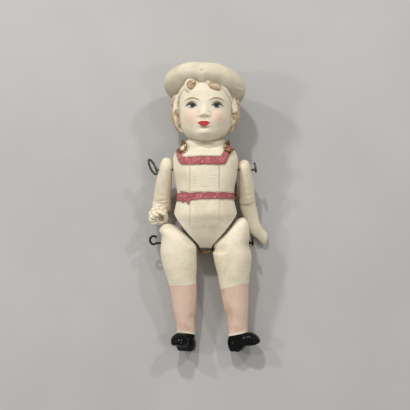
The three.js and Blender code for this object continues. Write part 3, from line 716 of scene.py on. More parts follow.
def romper_relief(body):
    """Moulded clothes: collar, belt, seams, buttons, tucks and a panel in front."""
    def line(x, y, at, low, high, width):
        window = soft_step(y, low - 0.4, low + 0.4) * soft_step(-y, -high - 0.4, -high + 0.4)
        return bump(x - at, width) * window

    def band(edge):
        """A raised band with a slightly thicker border, from how far inside its edge a place is."""
        return body.trim_relief * 0.8 * soft_step(edge, -0.12, 0.18) + 0.1 * bump(edge - 0.3, 0.2)

    def scrolls(x, y):
        """The collar's moulded rosettes and leaves, each a raised curl with a knob in it."""
        spacing, radius = 1.55, 0.52
        across = np.mod(x + 0.25 * np.sin(2 * y), spacing) - spacing / 2
        over = y - COLLAR_MIDDLE - 0.25 * np.sin(2.0 * x)
        reach = np.hypot(across, over)
        curl = 0.6 + 0.4 * np.sin(3 * np.arctan2(over, across) + x)
        return bump(reach - radius, 0.16) * curl + 0.5 * bump(reach, 0.2)

    def bow_relief(x, y):
        beside, over = x - BOW_KNOT[0], y - BOW_KNOT[1]
        pleats = 0.07 * np.sin(7 * np.arctan2(over, beside))
        return 0.12 + pleats + 0.3 * bump(np.hypot(beside, over), 0.6)

    def front_details(x, y):
        panel = (
            soft_step(x, SEAM_LEFT - 0.1, SEAM_LEFT + 0.3)
            * soft_step(-x, -SEAM_RIGHT - 0.1, 0.3 - SEAM_RIGHT)
            * soft_step(y, ROMPER_LOW, ROMPER_LOW + 1.5)
            * soft_step(-y, -ROMPER_HIGH, 0.4 - ROMPER_HIGH)
        )
        details = 0.09 * panel - 0.09 * line(x, y, SEAM_LEFT, ROMPER_LOW, ROMPER_HIGH, 0.22)
        details = details - 0.1 * line(x, y, SEAM_RIGHT, SEAM_RIGHT_LOW, ROMPER_HIGH, 0.22)
        details = details - 0.07 * bump(y - CHEST_TUCK, 0.16) * soft_step(-abs(x + 0.2), -5, -4)
        for places, height, wide, tall in ((BUTTONS, 0.13, 0.5, 0.3), (TUCKS, 0.12, 0.36, 0.34)):
            for at_x, at_y in places:
                details = details + height * bump(x - at_x, wide) * bump(y - at_y, tall)
        return details

    def back_details(x, y):
        details = -0.2 * line(x, y, 0.0, *BACK_OPENING, 0.2)
        for at_x, at_y in BACK_BUTTONS:
            away = np.hypot(x - at_x, y - at_y)
            details = details + 0.3 * soft_step(-away, -0.95, -0.6) - 0.2 * bump(away, 0.25)
        return details

    def relief(x, y, z):
        front, back = soft_step(z, 0.5, 3.0), soft_step(-z, 0.5, 3.0)
        collar, belt = collar_edge(body, x, y, z), belt_edge(body, x, y, z)
        raised = band(collar) + 0.2 * scrolls(x, y) * soft_step(collar, 0.3, 0.6) * front
        raised = np.maximum(raised, band(belt))
        raised = raised + soft_step(inside_outline(x, y, BOW), 0, 0.4) * front * bow_relief(x, y)
        bare = soft_step(-np.maximum(collar, belt), 0, 0.5)
        details = front * front_details(x, y) + back * back_details(x, y)
        folds = 0.05 * np.sin(0.55 * x + 0.8 * y) * np.sin(0.31 * y - 0.4 * x + 1.0)
        return raised * soft_step(np.abs(z), 0.2, 1.2) + bare * details + folds

    return relief


FACE_SHIFT = -0.45


def face_hills(head):
    """Hills and hollows of the face: height, x, y from the chin, width, reach up and reach down."""
    eye, nose, mouth = head.eye_height, head.nose_height, head.mouth_height
    one_side = [
        (0.35, head.eye_spacing, eye + 2.3, 2.8, 1.0, 1.3),
        (-0.55, head.eye_spacing, eye + 0.3, 2.5, 1.5, 1.4),
        (0.6, head.eye_spacing, eye, 1.8, 0.95, 0.95),
        (0.36, 1.3, nose - 0.6, 0.8, 0.7, 0.5),
        (0.8, 5.4, mouth + 1.9, 2.8, 2.6, 2.8),
        (0.26, 0.8, mouth + 0.5, 0.85, 0.4, 0.45),
        (-0.1, 2.4, mouth, 0.5, 0.45, 0.5),
    ]
    middle = [
        (0.22, 0, eye - 0.2, 1.3, 2.8, 2.4),
        (0.85, 0, nose, 1.45, 2.0, 0.95),
        (0.75, 0, mouth, 2.7, 1.6, 1.6),
        (0.36, 0, mouth - 0.65, 1.2, 0.45, 0.5),
        (-0.2, 0, mouth + 0.05, 1.6, 0.2, 0.2),
        (-0.28, 0, mouth - 1.7, 1.6, 0.55, 0.5),
        (0.95, 0, mouth - 3.3, 2.4, 1.4, 1.2),
        (-0.07, 0, mouth + 1.6, 0.4, 0.6, 0.5),
    ]
    return middle + one_side + [(height, -x, *rest) for height, x, *rest in one_side]


def face_warp(head):
    """Pushes the front of the head out and in by the face's hills and the folds of the lids."""
    def warp(x, y, z):
        rise = 0
        for height, at_x, at_y, wide, up, down in face_hills(head):
            over = y - head.chin_height - at_y
            tall = np.where(over > 0, up, down)
            rise = rise + height * bump(x - FACE_SHIFT - at_x, wide) * bump(over, tall)
        for side in (-1, 1):
            over = y - head.chin_height - head.eye_height
            beside = x - FACE_SHIFT - side * head.eye_spacing
            lid = 1.05 - 0.26 * beside ** 2
            fold = -0.2 * bump(over - lid - 0.45, 0.16) * soft_step(-np.abs(beside), -2.3, -1.2)
            rim = 0.14 * bump(over - lid + 0.1, 0.2) * soft_step(-np.abs(beside), -2.1, -1.4)
            rise = rise + fold + rim
        return rise * soft_step(z, 0, head.face_depth * 0.6)

    return warp


def head_form(head):
    """The head under the hair. Each row: share of the height, width, front and back depth."""
    shares = [
        (-0.05, 0.34, 0.74, 0.2), (-0.02, 0.54, 0.84, 0.35), (0.03, 0.7, 0.92, 0.6),
        (0.1, 0.83, 0.96, 0.8), (0.18, 0.91, 0.98, 0.9), (0.3, 0.965, 1, 0.98),
        (0.47, 1, 1, 1), (0.62, 1, 0.98, 1), (0.75, 0.97, 0.95, 0.96),
        (0.87, 0.85, 0.83, 0.84), (0.95, 0.62, 0.6, 0.62), (1, 0.2, 0.2, 0.2),
    ]
    stations = [
        (head.chin_height + rise * head.head_height, 0, 0, head.face_width / 2 * wide,
         head.face_depth * front, head.skull_depth * back)
        for rise, wide, front, back in shares
    ]
    return ovals(stations, 2.15, 0.8, face_warp(head))


def hair_stations(head):
    """The shell of the hair. Each row: share of the height, width and depth."""
    shares = [
        (0, 0.35, 0.4), (0.05, 0.66, 0.7), (0.14, 0.86, 0.88), (0.28, 0.98, 0.98),
        (0.48, 1, 1), (0.7, 0.97, 0.97), (0.9, 0.84, 0.84), (1, 0.5, 0.5),
    ]
    under_locks = 0.94
    front = head.hair_depth * 0.4
    middle = (front - head.hair_depth) / 2
    span = head.head_height - head.hair_drop * 2
    return [
        (head.chin_height + head.hair_drop + rise * span, 0, middle,
         head.hair_width / 2 * wide * under_locks, (front - middle) * deep * under_locks,
         (head.hair_depth + middle) * deep * under_locks)
        for rise, wide, deep in shares
    ]


def hair_waves(x, y, z):
    """Fine combed strands that sway as they run down from the cap, off the face."""
    around = np.arctan2(x, 1 - z)
    sway = 0.06 * np.sin(1.25 * y + 2 * around)
    lock = np.sin(24 * (around + sway))
    fine = np.sin(61 * (around + sway) + np.sin(1.3 * y))
    strands = (0.06 * lock + 0.03 * fine) * soft_step(np.abs(around), 0.5, 1.2)
    return strands * soft_step(-z, -6.5, -5.5) * soft_step(np.abs(x) - z, 4.0, 5.5)


def add_locks(clay, head):
    """Thick waved locks hanging side by side round the back of the hair."""
    random = np.random.default_rng(4)
    stations = np.array(hair_stations(head))
    bottom, top = head.chin_height + head.hair_drop, head.chin_height + 17
    for place in range(-5, 6):
        sweep = math.radians(180 + place * 22)
        phase = random.uniform(0, 6.3)
        heights = np.linspace(top, bottom + 1.1 + random.uniform(-0.3, 0.5), 17)
        half, front, back = (station_value(stations, column, heights) for column in (3, 4, 5))
        wave = 0.5 * np.sin(heights * 1.35 + phase)
        angle = sweep + wave / 11
        depth = np.where(np.cos(angle) > 0, front, back)
        run = np.stack([
            (half - 0.25) * np.sin(angle), heights,
            stations[0, 2] + (depth - 0.25 + 0.2 * np.cos(heights * 1.35 + phase)) * np.cos(angle),
        ], 1)
        thick = random.uniform(1.15, 1.4) * np.linspace(1, 0.8, len(run))
        clay.add(cord(run, thick), 0.4, "hair")


class SideLock(NamedTuple):
    """A lock beside the face: its paint, place, reach above the chin, thickness and wave."""
    layer: str
    out: float
    forward: float
    top: float
    bottom: float
    thick: float
    wave: float


SIDE_LOCKS = [
    SideLock("fringe", 10.4, 3.1, 15.0, 9.8, 0.7, 0.06),
    SideLock("hair", 10.35, 2.9, 10.5, 2.9, 0.95, 0.22),
    SideLock("hair", 11.0, 2.2, 14.2, 2.7, 1.15, 0.16),
    SideLock("hair", 11.3, 0.2, 14.5, 3.2, 1.3, 0.2),
]


def add_side_locks(clay, head):
    """The hair beside the face: a rolled edge and waved locks, tucked in at the jaw."""
    for side in (-1, 1):
        for number, lock in enumerate(SIDE_LOCKS):
            rise = np.linspace(lock.top, lock.bottom, 15)
            turn = rise * 1.25 + number * 1.7 + side * 0.8
            inward = 2.3 * soft_step(-rise, -7.8, -1.5) + 0.5 * soft_step(rise, 12, 15)
            run = np.stack([
                side * (lock.out - inward + lock.wave * np.sin(turn)), head.chin_height + rise,
                lock.forward + lock.wave * 0.7 * np.cos(turn) - inward * 0.3,
            ], 1)
            thick = lock.thick * np.where(rise < 5, 0.75 + 0.05 * rise, 1)
            clay.add(cord(run, thick), 0.9, lock.layer)


# The rolled edge of the hair at each side, and how far it stands proud of the forehead
FRINGE_ROLLS = [
    ([(-7.4, 56.4), (-8.9, 54.8), (-10.1, 52.7), (-10.7, 50.6), (-10.9, 48.6)], 0.05),
    ([(0.9, 57.9), (3.2, 57.9), (5.4, 57.0), (7.2, 55.3), (8.6, 53.3), (9.7, 50.8), (10.3, 47.6)],
     0.15),
]
CURL_PLACE = (-5.0, 56.7)
LOCK_PLACE = (3.2, 56.1)


def add_fringe(clay):
    """The scroll, the curled lock and the rolled edge of the hair under the front of the cap."""
    def on_face(x, y, proud=0.0):
        return np.array([x, y, clay.surface(x, y) + proud])

    for places, proud in FRINGE_ROLLS:
        roll = [on_face(x, y, proud) for x, y in places]
        clay.add(cord(roll, np.linspace(0.6, 0.42, len(roll))), 0.6, "fringe")
    curl = on_face(*CURL_PLACE)
    ring = [
        curl + (2.15 * math.cos(a), 2.05 * math.sin(a), 0.1 + 0.15 * math.sin(a))
        for a in np.linspace(1.3, 7.0, 20)
    ]
    clay.add(cord(ring, np.linspace(0.58, 0.5, len(ring))), 0.25, "fringe")
    clay.add(ball(curl, (1.8, 1.8, 0.95)), 0.12, "hair")
    clay.add(cord([curl + (0.7, 1.2, 0.6), curl + (1.2, 2.1, 0.3)], 0.55), 0.2, "hair")
    for k in range(3):
        groove = [
            curl + (-1.0 + 0.65 * k + 0.3 * t, -1.2 + 0.9 * t, 0.98 - 0.12 * (t - 1) ** 2)
            for t in range(3)
        ]
        clay.cut(cord(groove, 0.14), 0.2)
    lock = on_face(*LOCK_PLACE)
    clay.add(ball(lock, (2.2, 1.1, 0.75), -0.2), 0.15, "hair")
    for k in range(4):
        beside = -1.3 + 0.85 * k
        groove = [lock + (beside + 0.3, 0.7 - 0.15 * k, 0.7), lock + (beside, -0.6, 0.62)]
        clay.cut(cord(groove, 0.13), 0.2)


def cap_form(head):
    """A flat round cap: fuller over its rim than under it, pleated below, dented in front."""
    half_width, half_depth = head.cap_width / 2, head.cap_depth / 2
    middle_z = (head.face_depth - head.skull_depth) / 2 - 0.9
    place = (
        Matrix.Translation((-0.35, head.cap_height, middle_z))
        @ Matrix.Rotation(head.cap_lean, 4, "X") @ Matrix.Rotation(head.cap_turn, 4, "Z")
    )

    def distance(x, y, z):
        front = soft_step(z, 2, half_depth)
        dent = bump(x + 1, 3.0) * front
        y = y + 0.3 * dent * soft_step(y, -2, 5)
        z = z + 0.5 * dent
        around = np.arctan2(x, z)
        pleats = 0.018 * np.sin(13 * around + 1.5 * np.sin(3 * around))
        out = np.sqrt((x / half_width) ** 2 + (z / half_depth) ** 2)
        out = np.maximum(out + pleats * soft_step(-y, 1.0, 4.0), 0)
        slump = np.where(x > 0, 0.2, -0.06) * np.minimum((x / half_width) ** 2, 1.5)
        sag = 0.72 + 0.28 * (1 - front) + slump
        tall = np.where(y > 0, head.cap_rise, head.cap_drop * sag)
        near = (out ** 2.56 + (np.abs(y) / tall) ** 2.22) ** (1 / 2.4)
        away = np.sqrt(x ** 2 + y ** 2 + z ** 2)
        return away * (1 - 1 / np.maximum(near, 0.05)) * 0.85

    return moved(distance, place, (half_width + 1.5, head.cap_rise + 5, half_depth + 1.5))


def cap_crease(x, y, z):
    """A fold in the rim of the cap at the viewer's right."""
    fold = 0.22 * bump(y - 56.2 + 0.28 * (x - 10.5), 0.28)
    return fold * soft_step(x, 10, 11.5) * soft_step(z, 2.5, 4) * soft_step(-z, -10, -8)


def cap_dimple(x, y, z):
    """A small dimple in the front of the crown."""
    return -0.3 * bump(x + 1.3, 0.9) * bump(y - 62.0, 0.8) * soft_step(z, 3, 5)


def hip_seat(web, clearance, side, wear=0.0):
    """All that lies further out than the cone of a hip seat, turned about the hip wire."""
    def distance(x, y, z):
        from_wire = np.sqrt(y ** 2 + z ** 2)
        worn = clearance + wear * soft_step(y, -1.5, 4)
        cone = web / 2 + worn + np.maximum(from_wire - web / 2 + 0.8, 0)
        return -(side * x - cone) / math.sqrt(2)

    return by_the_wire(distance)


def model_casting(body, head):
    clay = Clay(*BODY_BLOCK, body.clay_step)
    clay.add(ovals(trunk_stations(body), TRUNK_POWER, 1.0), 0.1)
    clay.raise_skin((-14, -2, -14), (14, 37, 14), romper_relief(body))
    clay.add(head_form(head), 1.2)
    clay.add(ovals(hair_stations(head), 2.2, 1.0), 0.35, "hair")
    add_locks(clay, head)
    add_side_locks(clay, head)
    clay.raise_skin((-15, head.chin_height + 1, -15), (15, 60, 8), hair_waves)
    add_fringe(clay)
    clay.add(cap_form(head), 0.3, "cap")
    clay.raise_skin((9, 52, 2), (16, 58, 10), cap_crease)
    clay.raise_skin((-4, 59, 2), (2, 64, 16), cap_dimple)
    seats = [hip_seat(body.hip_web, 0, side) for side in (-1, 1)]
    for seat in seats:
        clay.cut(seat, 0.12)
    x, y, z = clay.grid()
    to_seat = np.minimum(*(np.abs(seat.distance(x, y, z)) for seat in seats))
    # Distance to the seat cones, where old dirt and painted shade darken the joint gaps
    clay.layers["seat"] = to_seat + soft_step(y, 11, 14)
    for height in (0, SHOULDER_RISE):
        reach = body.chest_width
        clay.cut(cord([(-reach, height, 0), (reach, height, 0)], body.hole_radius), 0.1)
    edge = np.maximum(collar_edge(body, x, y, z), belt_edge(body, x, y, z))
    clay.layers["trim_edge"] = np.where(y < head.chin_height - 2, edge, -3).astype(np.float32)
    return clay


# Arms


def arm_seat(limbs, body):
    """How far beside the middle line the flat inner face of an arm is."""
    return body.chest_width / 2 + limbs.joint_gap


def add_sleeve(clay, limbs, body, side, spread, slim, long, lower_rows):
    """A sleeve with a rounded shoulder. Each row: share of the length, width and depth."""
    seat = arm_seat(limbs, body)
    rows = [(-0.28, 0.1, 0.12), (-0.26, 0.5, 0.5), (-0.16, 0.88, 0.85), (0, 1, 1), *lower_rows]
    stations = []
    for down, wide, deep in rows:
        half = limbs.arm_width / 2 * wide * (slim + (1 - slim) * max(down, 0))
        drop, depth = down * long, limbs.arm_depth * deep
        lead = seat + (limbs.arm_width * slim * 0.42 if down < 0 else half + drop * spread)
        stations.append((-drop, side * lead, 0, half, depth, depth))
    clay.add(ovals(stations, 2.2, 0.7), 0.1)


def seat_arm(clay, limbs, body, side):
    """Cuts the flat face against the chest and the wire hole."""
    seat = arm_seat(limbs, body)
    clay.cut(by_the_wire(lambda x, y, z: side * x - seat + 0 * (y + z)), 0.12)
    clay.cut(cord([(side * 8, 0, 0), (side * 26, 0, 0)], body.hole_radius), 0.1)


def creases(places, depth):
    """Short soft folds across a sleeve: x, y, half length, slope and strength of each."""
    def relief(x, y, z):
        total = 0
        for at_x, at_y, reach, lean, strength in places:
            across = y - at_y - lean * (x - at_x)
            total = total + strength * bump(across, 0.35) * bump(x - at_x, reach)
        return total * depth * soft_step(z, -1, 1.5)

    return relief


def model_left_arm(limbs, body):
    """The bent arm: sleeve, forearm, a frilled cuff and a fist with four fingers and a thumb."""
    clay = Clay(*LEFT_ARM_BLOCK, body.clay_step * ARM_FINENESS)
    hem = (1, 2 * limbs.sleeve_hem / limbs.arm_width, limbs.sleeve_hem / limbs.arm_depth)
    add_sleeve(clay, limbs, body, -1, 0.02, 1, limbs.sleeve_length, [
        (0.3, 1.22, 1.03), (0.55, 1.34, 1.03), (0.8, 1.46, 1.05), hem,
    ])
    elbow = -(arm_seat(limbs, body) + limbs.sleeve_hem + 0.4)
    wrist = limbs.forearm_width / 2
    y = -limbs.sleeve_length
    forearm = [(elbow, y + 3.2, -0.4), (elbow - 0.4, y + 1.2, 2), (elbow - 0.8, y + 0.3, 4.6)]
    clay.add(cord(forearm, [wrist * 0.95, wrist, wrist * 0.95]), 0.8)
    clay.raise_skin((-23, -17, -4), (-11, -6, 5), creases([
        (elbow, y + 5.2, 2.2, 0.15, -1), (elbow - 0.6, y + 4.2, 2.4, -0.05, -1.1),
        (elbow + 0.3, y + 3.4, 2.2, 0.1, -0.8), (elbow, y + 7.5, 1.6, -0.2, -0.5),
    ], 0.22))
    centre = np.array([elbow - 0.9, y + 0.2, limbs.bent_forearm])
    for angle in np.linspace(0, 2 * math.pi, 11, endpoint=False):
        frill = centre + (2.75 * math.cos(angle), 2.5 * math.sin(angle), -2.1)
        clay.add(ball(frill, (0.95, 0.95, 0.75)), 0.3)
    fist = limbs.fist_radius
    clay.add(ball(centre + (0.1, 0, -0.2), (fist * 0.9, fist * 0.78, 2.4)), 0.35)
    clay.cut(ball(centre + (1.45, 0.5, 2.7), (1.5, 2.0, 2.6), 0.1), 0.3)
    for k, (beside, over) in enumerate([(-1.3, 2.1), (-2.2, 1.0), (-2.5, -0.3), (-2.0, -1.55)]):
        knuckle = centre + (beside, over, 0.5)
        tip = centre + (beside + 1.15, over * 0.85 - 0.1, 2.2 - 0.1 * k)
        bend = (knuckle + tip) / 2 + (-0.35, 0, 0.7)
        clay.add(cord([knuckle, bend, tip], [0.88, 0.82, 0.58]), 0.14)
    thumb = centre + [(2.9, -1.2, 0.4), (3.0, 0.4, 1.2), (2.3, 2.0, 1.7), (0.8, 2.6, 1.9)]
    clay.add(cord(thumb, [0.75, 0.75, 0.7, 0.55]), 0.25)
    seat_arm(clay, limbs, body, -1)
    return clay


# Each row: height over the tip, share of the turn outward, width, depth, share of the lift
MITTEN_ROWS = [
    (0, 1.09, 0.15, 0.15, 1), (1, 1.07, 0.43, 0.35, 0.95), (2.6, 0.94, 0.78, 0.5, 0.87),
    (4.3, 0.75, 1.09, 0.62, 0.75), (6.3, 0.52, 1.0, 0.7, 0.6), (8.2, 0.35, 0.98, 0.8, 0.4),
    (11.3, 0.18, 1.11, 1.02, 0.1), (14.4, 0.05, 1.12, 1.14, 0), (17.4, 0, 0.95, 1.1, 0),
]


def model_right_arm(limbs, body):
    """The straight arm: sleeve, forearm and a flat hand with its fingers together."""
    clay = Clay(*RIGHT_ARM_BLOCK, body.clay_step * ARM_FINENESS)
    long = limbs.right_sleeve_length
    add_sleeve(clay, limbs, body, 1, 0.0, 0.95, long, [
        (0.12, 1.1, 1.02), (0.35, 1.15, 1.03), (0.6, 1.2, 1.03), (0.85, 1.25, 1.0), (1, 1.27, 0.93),
    ])
    middle = arm_seat(limbs, body) + limbs.forearm_width * 0.55
    palm = limbs.forearm_width / 2
    turn, lift = limbs.mitten_turn, limbs.mitten_lift
    tip = -long - limbs.straight_forearm - limbs.mitten_length
    stations = [
        (tip + rise, middle + turn * out, lift * up, palm * wide, palm * deep, palm * deep)
        for rise, out, wide, deep, up in MITTEN_ROWS
    ]
    clay.add(ovals(stations, 2.3, 0.6), 0.5)
    clay.raise_skin((11, -13, -4), (25, -3, 5), creases([
        (15.6, -8.6, 1.6, 0.2, -0.4), (17.2, -10.4, 1.3, 0.25, -0.4),
    ], 0.2))

    def hem_line(x, y, z):
        crease = -0.34 * bump(y + long - 0.35 - 0.2 * (x - middle), 0.2)
        deeper_outside = 0.3 + 0.7 * soft_step(x, middle - 1.2, middle + 0.3)
        return crease * deeper_outside * soft_step(z, -1, 1)

    clay.raise_skin((11, -16, -5), (25, -9, 5), hem_line)
    hand_x, hand_y, hand_z = middle + turn * 0.95, tip + limbs.mitten_length * 0.34, lift * 0.75
    for finger in (-1.15, -0.1, 0.95):
        at = hand_x + finger
        groove = [
            (at + 0.25, tip - 0.4, hand_z + 1.5), (at, hand_y, hand_z + 2.05),
            (at - 0.4, hand_y + 1.6, hand_z + 2.3),
        ]
        clay.cut(cord(groove, [0.3, 0.3, 0.12]), 0.25)
    seat_arm(clay, limbs, body, 1)
    return clay


# Legs


def leg_rows(limbs, body, shape):
    """The leg from its rounded top to inside the shoe: drop, x, half width and half depth."""
    side, rise, deep = shape.side, shape.rise, limbs.thigh_depth
    web, long = body.hip_web, limbs.ankle_length
    thigh, calf, ankle = (
        width / 2 * shape.girth
        for width in (limbs.thigh_width, limbs.calf_width, limbs.ankle_width)
    )
    outer = side * (shape.offset + thigh * shape.top_out)
    hip = [
        (-rise, outer, 0.5, 0.6), (0.6 - rise, outer - side * 0.2, 13.5 / rise, 2.2),
        (2.4 - rise, outer - side * 0.9, 29 / rise, 4.4),
        (-web * 0.6, outer - side * 2.8, thigh * 0.78, deep * 0.88),
        (web * 0.12, side * (shape.offset - 0.3), thigh * 0.96, deep * 0.97),
    ]
    shares = [
        (0.13, thigh, deep), (0.27, thigh * 0.93, deep * 0.97), (0.4, thigh * 0.82, deep * 0.9),
        (0.58, calf, limbs.calf_depth), (0.78, calf * 0.865, limbs.calf_depth * 0.88),
        (0.89, calf * 0.755, limbs.calf_depth * 0.76), (1, ankle, limbs.ankle_width / 2),
    ]
    shaft = [
        (down * long, shape.middle(down * long) + shape.calf_shift * bump(down - 0.58, 0.22),
         wide, depth)
        for down, wide, depth in shares
    ]
    foot = shape.middle(long)
    in_shoe = [
        (limbs.leg_length - limbs.shoe_height * up, foot, ankle * wide, limbs.ankle_width * depth)
        for up, wide, depth in ((0.7, 0.97, 0.47), (0.4, 0.8, 0.4))
    ]
    return [*hip, *shaft, *in_shoe]


def thigh_seat(limbs, body, shape):
    """What is cut from the top of a thigh: the worn cone of its seat, down to a shelf."""
    shelf = -(body.crotch_drop + limbs.hip_gap + shape.shelf_drop)
    clearance = limbs.hip_gap * math.sqrt(2) + 0.2
    seat = hip_seat(body.hip_web, clearance, shape.side, limbs.hip_wear)

    def distance(x, y, z):
        above_shelf = shelf + shape.shelf_tilt * np.maximum(z, 0) - y
        return soft_max(above_shelf, -seat.distance(x, y, z), 3.6)

    return by_the_wire(distance), seat


def model_leg(limbs, body, shape):
    side = shape.side
    low_x, high_x = (-22, 1) if side < 0 else (-1, 24)
    clay = Clay((low_x, -42, -9), (high_x, shape.rise + 1, 13), body.clay_step * LEG_FINENESS)
    rows = leg_rows(limbs, body, shape)
    stations = [(-drop, x, 0, wide, depth, depth) for drop, x, wide, depth in rows]
    clay.add(ovals(stations, 2.2, 0.6), 0.1)

    def soft_modelling(x, y, z):
        knee = 0.2 * bump(x - shape.middle(13), 2.4) * bump(y + 12, 2.2) * soft_step(z, 0, 4)
        calf_swell = -0.12 * bump(y + 24, 3.0) * bump(x - shape.middle(24) + side * 2.5, 1.2)
        mould_seam = 0.12 * bump(z - 2.5, 0.3) * soft_step(x - shape.middle(-y), 1.5, 3)
        handling = 0.05 * np.sin(0.5 * x + 0.4 * y) * np.sin(0.45 * y)
        return knee + calf_swell + mould_seam + handling

    clay.raise_skin((-24, -32, -9), (24, 4, 9), soft_modelling)
    add_shoe(clay, limbs, shape)
    x, y, z = clay.grid()
    along = (x - shape.middle(limbs.ankle_length)) * math.sin(shape.turn) + z * math.cos(shape.turn)
    shoe_top = limbs.leg_length - limbs.shoe_height * 0.76
    clay.layers["shoe"] = y + shoe_top - 0.22 * (along + 3.5)
    clay.layers["sock"] = stocking_edge(limbs, shape, x, y)
    opening, seat = thigh_seat(limbs, body, shape)
    clay.cut(opening, 0.4)
    clay.cut(cord([(-SEAT_REACH, 0, 0), (SEAT_REACH, 0, 0)], body.hole_radius), 0.1)
    # Keeps the darkening (old dirt and painted shade) to the deep gap near the wire
    away_from_deep_gap = soft_step(z, 1.0, 2.5) + soft_step(-y, -2.5, -1)
    clay.layers["seat"] = np.abs(seat.distance(x, y, z)) + away_from_deep_gap
    return clay


def stocking_edge(limbs, shape, x, y):
    """How far below the stocking's slanting top a place is."""
    beside = x - shape.middle(limbs.stocking_length)
    slant = np.where(beside < 0, *shape.slants)
    return -limbs.stocking_length + slant * beside + 0.12 * np.sin(1.1 * x) - y


# Each row: share of the length, width, height of the top line, and height of the sole
# over the heel's flat face
SHOE_ROWS = [
    (0, 0.4, 0.6, 1.3), (0.035, 0.8, 0.69, 0.7), (0.12, 1.08, 0.74, 0), (0.25, 1.2, 0.76, 0),
    (0.4, 1.18, 0.78, 0), (0.5, 1.1, 0.86, 0.55), (0.58, 1.04, 0.93, 0.86), (0.7, 1.06, 0.98, 0.92),
    (0.82, 1, 0.91, 1), (0.92, 0.8, 0.78, 1.14), (0.975, 0.5, 0.67, 1.3), (1, 0.2, 0.6, 1.5),
]
ANKLE_IN_SHOE = 0.31


def add_shoe(clay, limbs, shape):
    """A heeled shoe, drawn along its own length and turned out under the ankle."""
    stations, soles = [], []
    for along, wide, top, sole in SHOE_ROWS:
        place = limbs.shoe_length * (along - ANKLE_IN_SHOE)
        high, low = limbs.shoe_height * top, limbs.heel_height * sole
        middle, half = low + (high - low) * 0.45, limbs.shoe_width / 2 * wide
        stations.append((place, 0, middle, half, high - middle, (middle - low) * 1.45))
        soles.append((place, low))
    upper = ovals(stations, 2.3, 0.3).distance
    soles = np.array(soles)

    def distance(x, y, z):
        sole = station_value(soles, 1, z)
        worn = soft_max(upper(x, z, y), (sole - y) * 0.8, 0.3)
        seam = 0.1 * bump(y - sole - 0.9, 0.2) - 0.1 * bump(y - sole - 1.25, 0.16)
        return worn - seam * soft_step(z, -0.5, 1.5)

    foot = shape.middle(limbs.ankle_length)
    place = Matrix.Translation((foot, -limbs.leg_length, 0)) @ Matrix.Rotation(shape.turn, 4, "Y")
    clay.add(moved(distance, place, (13, 9.5, 13)), 0.5)


# Materials

GRAIN_REACH = 0.06 * MM
WIRE_PIT_REACH = 0.05 * MM
TABLE_GRAIN_REACH = 0.04 * MM
BISQUE_GLOSS = {"Specular IOR Level": 0.35}
SHOE_GLOSS = {"Specular IOR Level": 0.06, "Coat Roughness": 0.08}
IRON_METALLIC = 0.75
BRASS_METALLIC = 1.0


class Value:
    """A socket of a material's tree, so that shader maths reads as an expression."""

    def __init__(self, paint, socket):
        self.paint = paint
        self.socket = socket

    def maths(self, operation, first, second=0.0):
        return self.paint.node("ShaderNodeMath", {"operation": operation}, {0: first, 1: second})

    def __abs__(self):
        return self.maths("ABSOLUTE", self)

    def root(self):
        return self.maths("SQRT", self)

    def lesser(self, other):
        return self.maths("MINIMUM", self, other)

    def greater(self, other):
        return self.maths("MAXIMUM", self, other)

    def step(self, low, high):
        """0 below low and 1 above high, with a soft change between."""
        return self.paint.node(
            "ShaderNodeMapRange", {"interpolation_type": "SMOOTHSTEP"},
            {"Value": self, "From Min": low, "From Max": high},
        )


def give_value_arithmetic():
    """Lets values be added, subtracted, multiplied and divided, from either side."""
    for sign, operation in (
        ("add", "ADD"), ("sub", "SUBTRACT"), ("mul", "MULTIPLY"), ("truediv", "DIVIDE"),
    ):
        def from_left(self, other, operation=operation):
            return self.maths(operation, self, other)

        def from_right(self, other, operation=operation):
            return self.maths(operation, other, self)

        setattr(Value, f"__{sign}__", from_left)
        setattr(Value, f"__r{sign}__", from_right)


give_value_arithmetic()


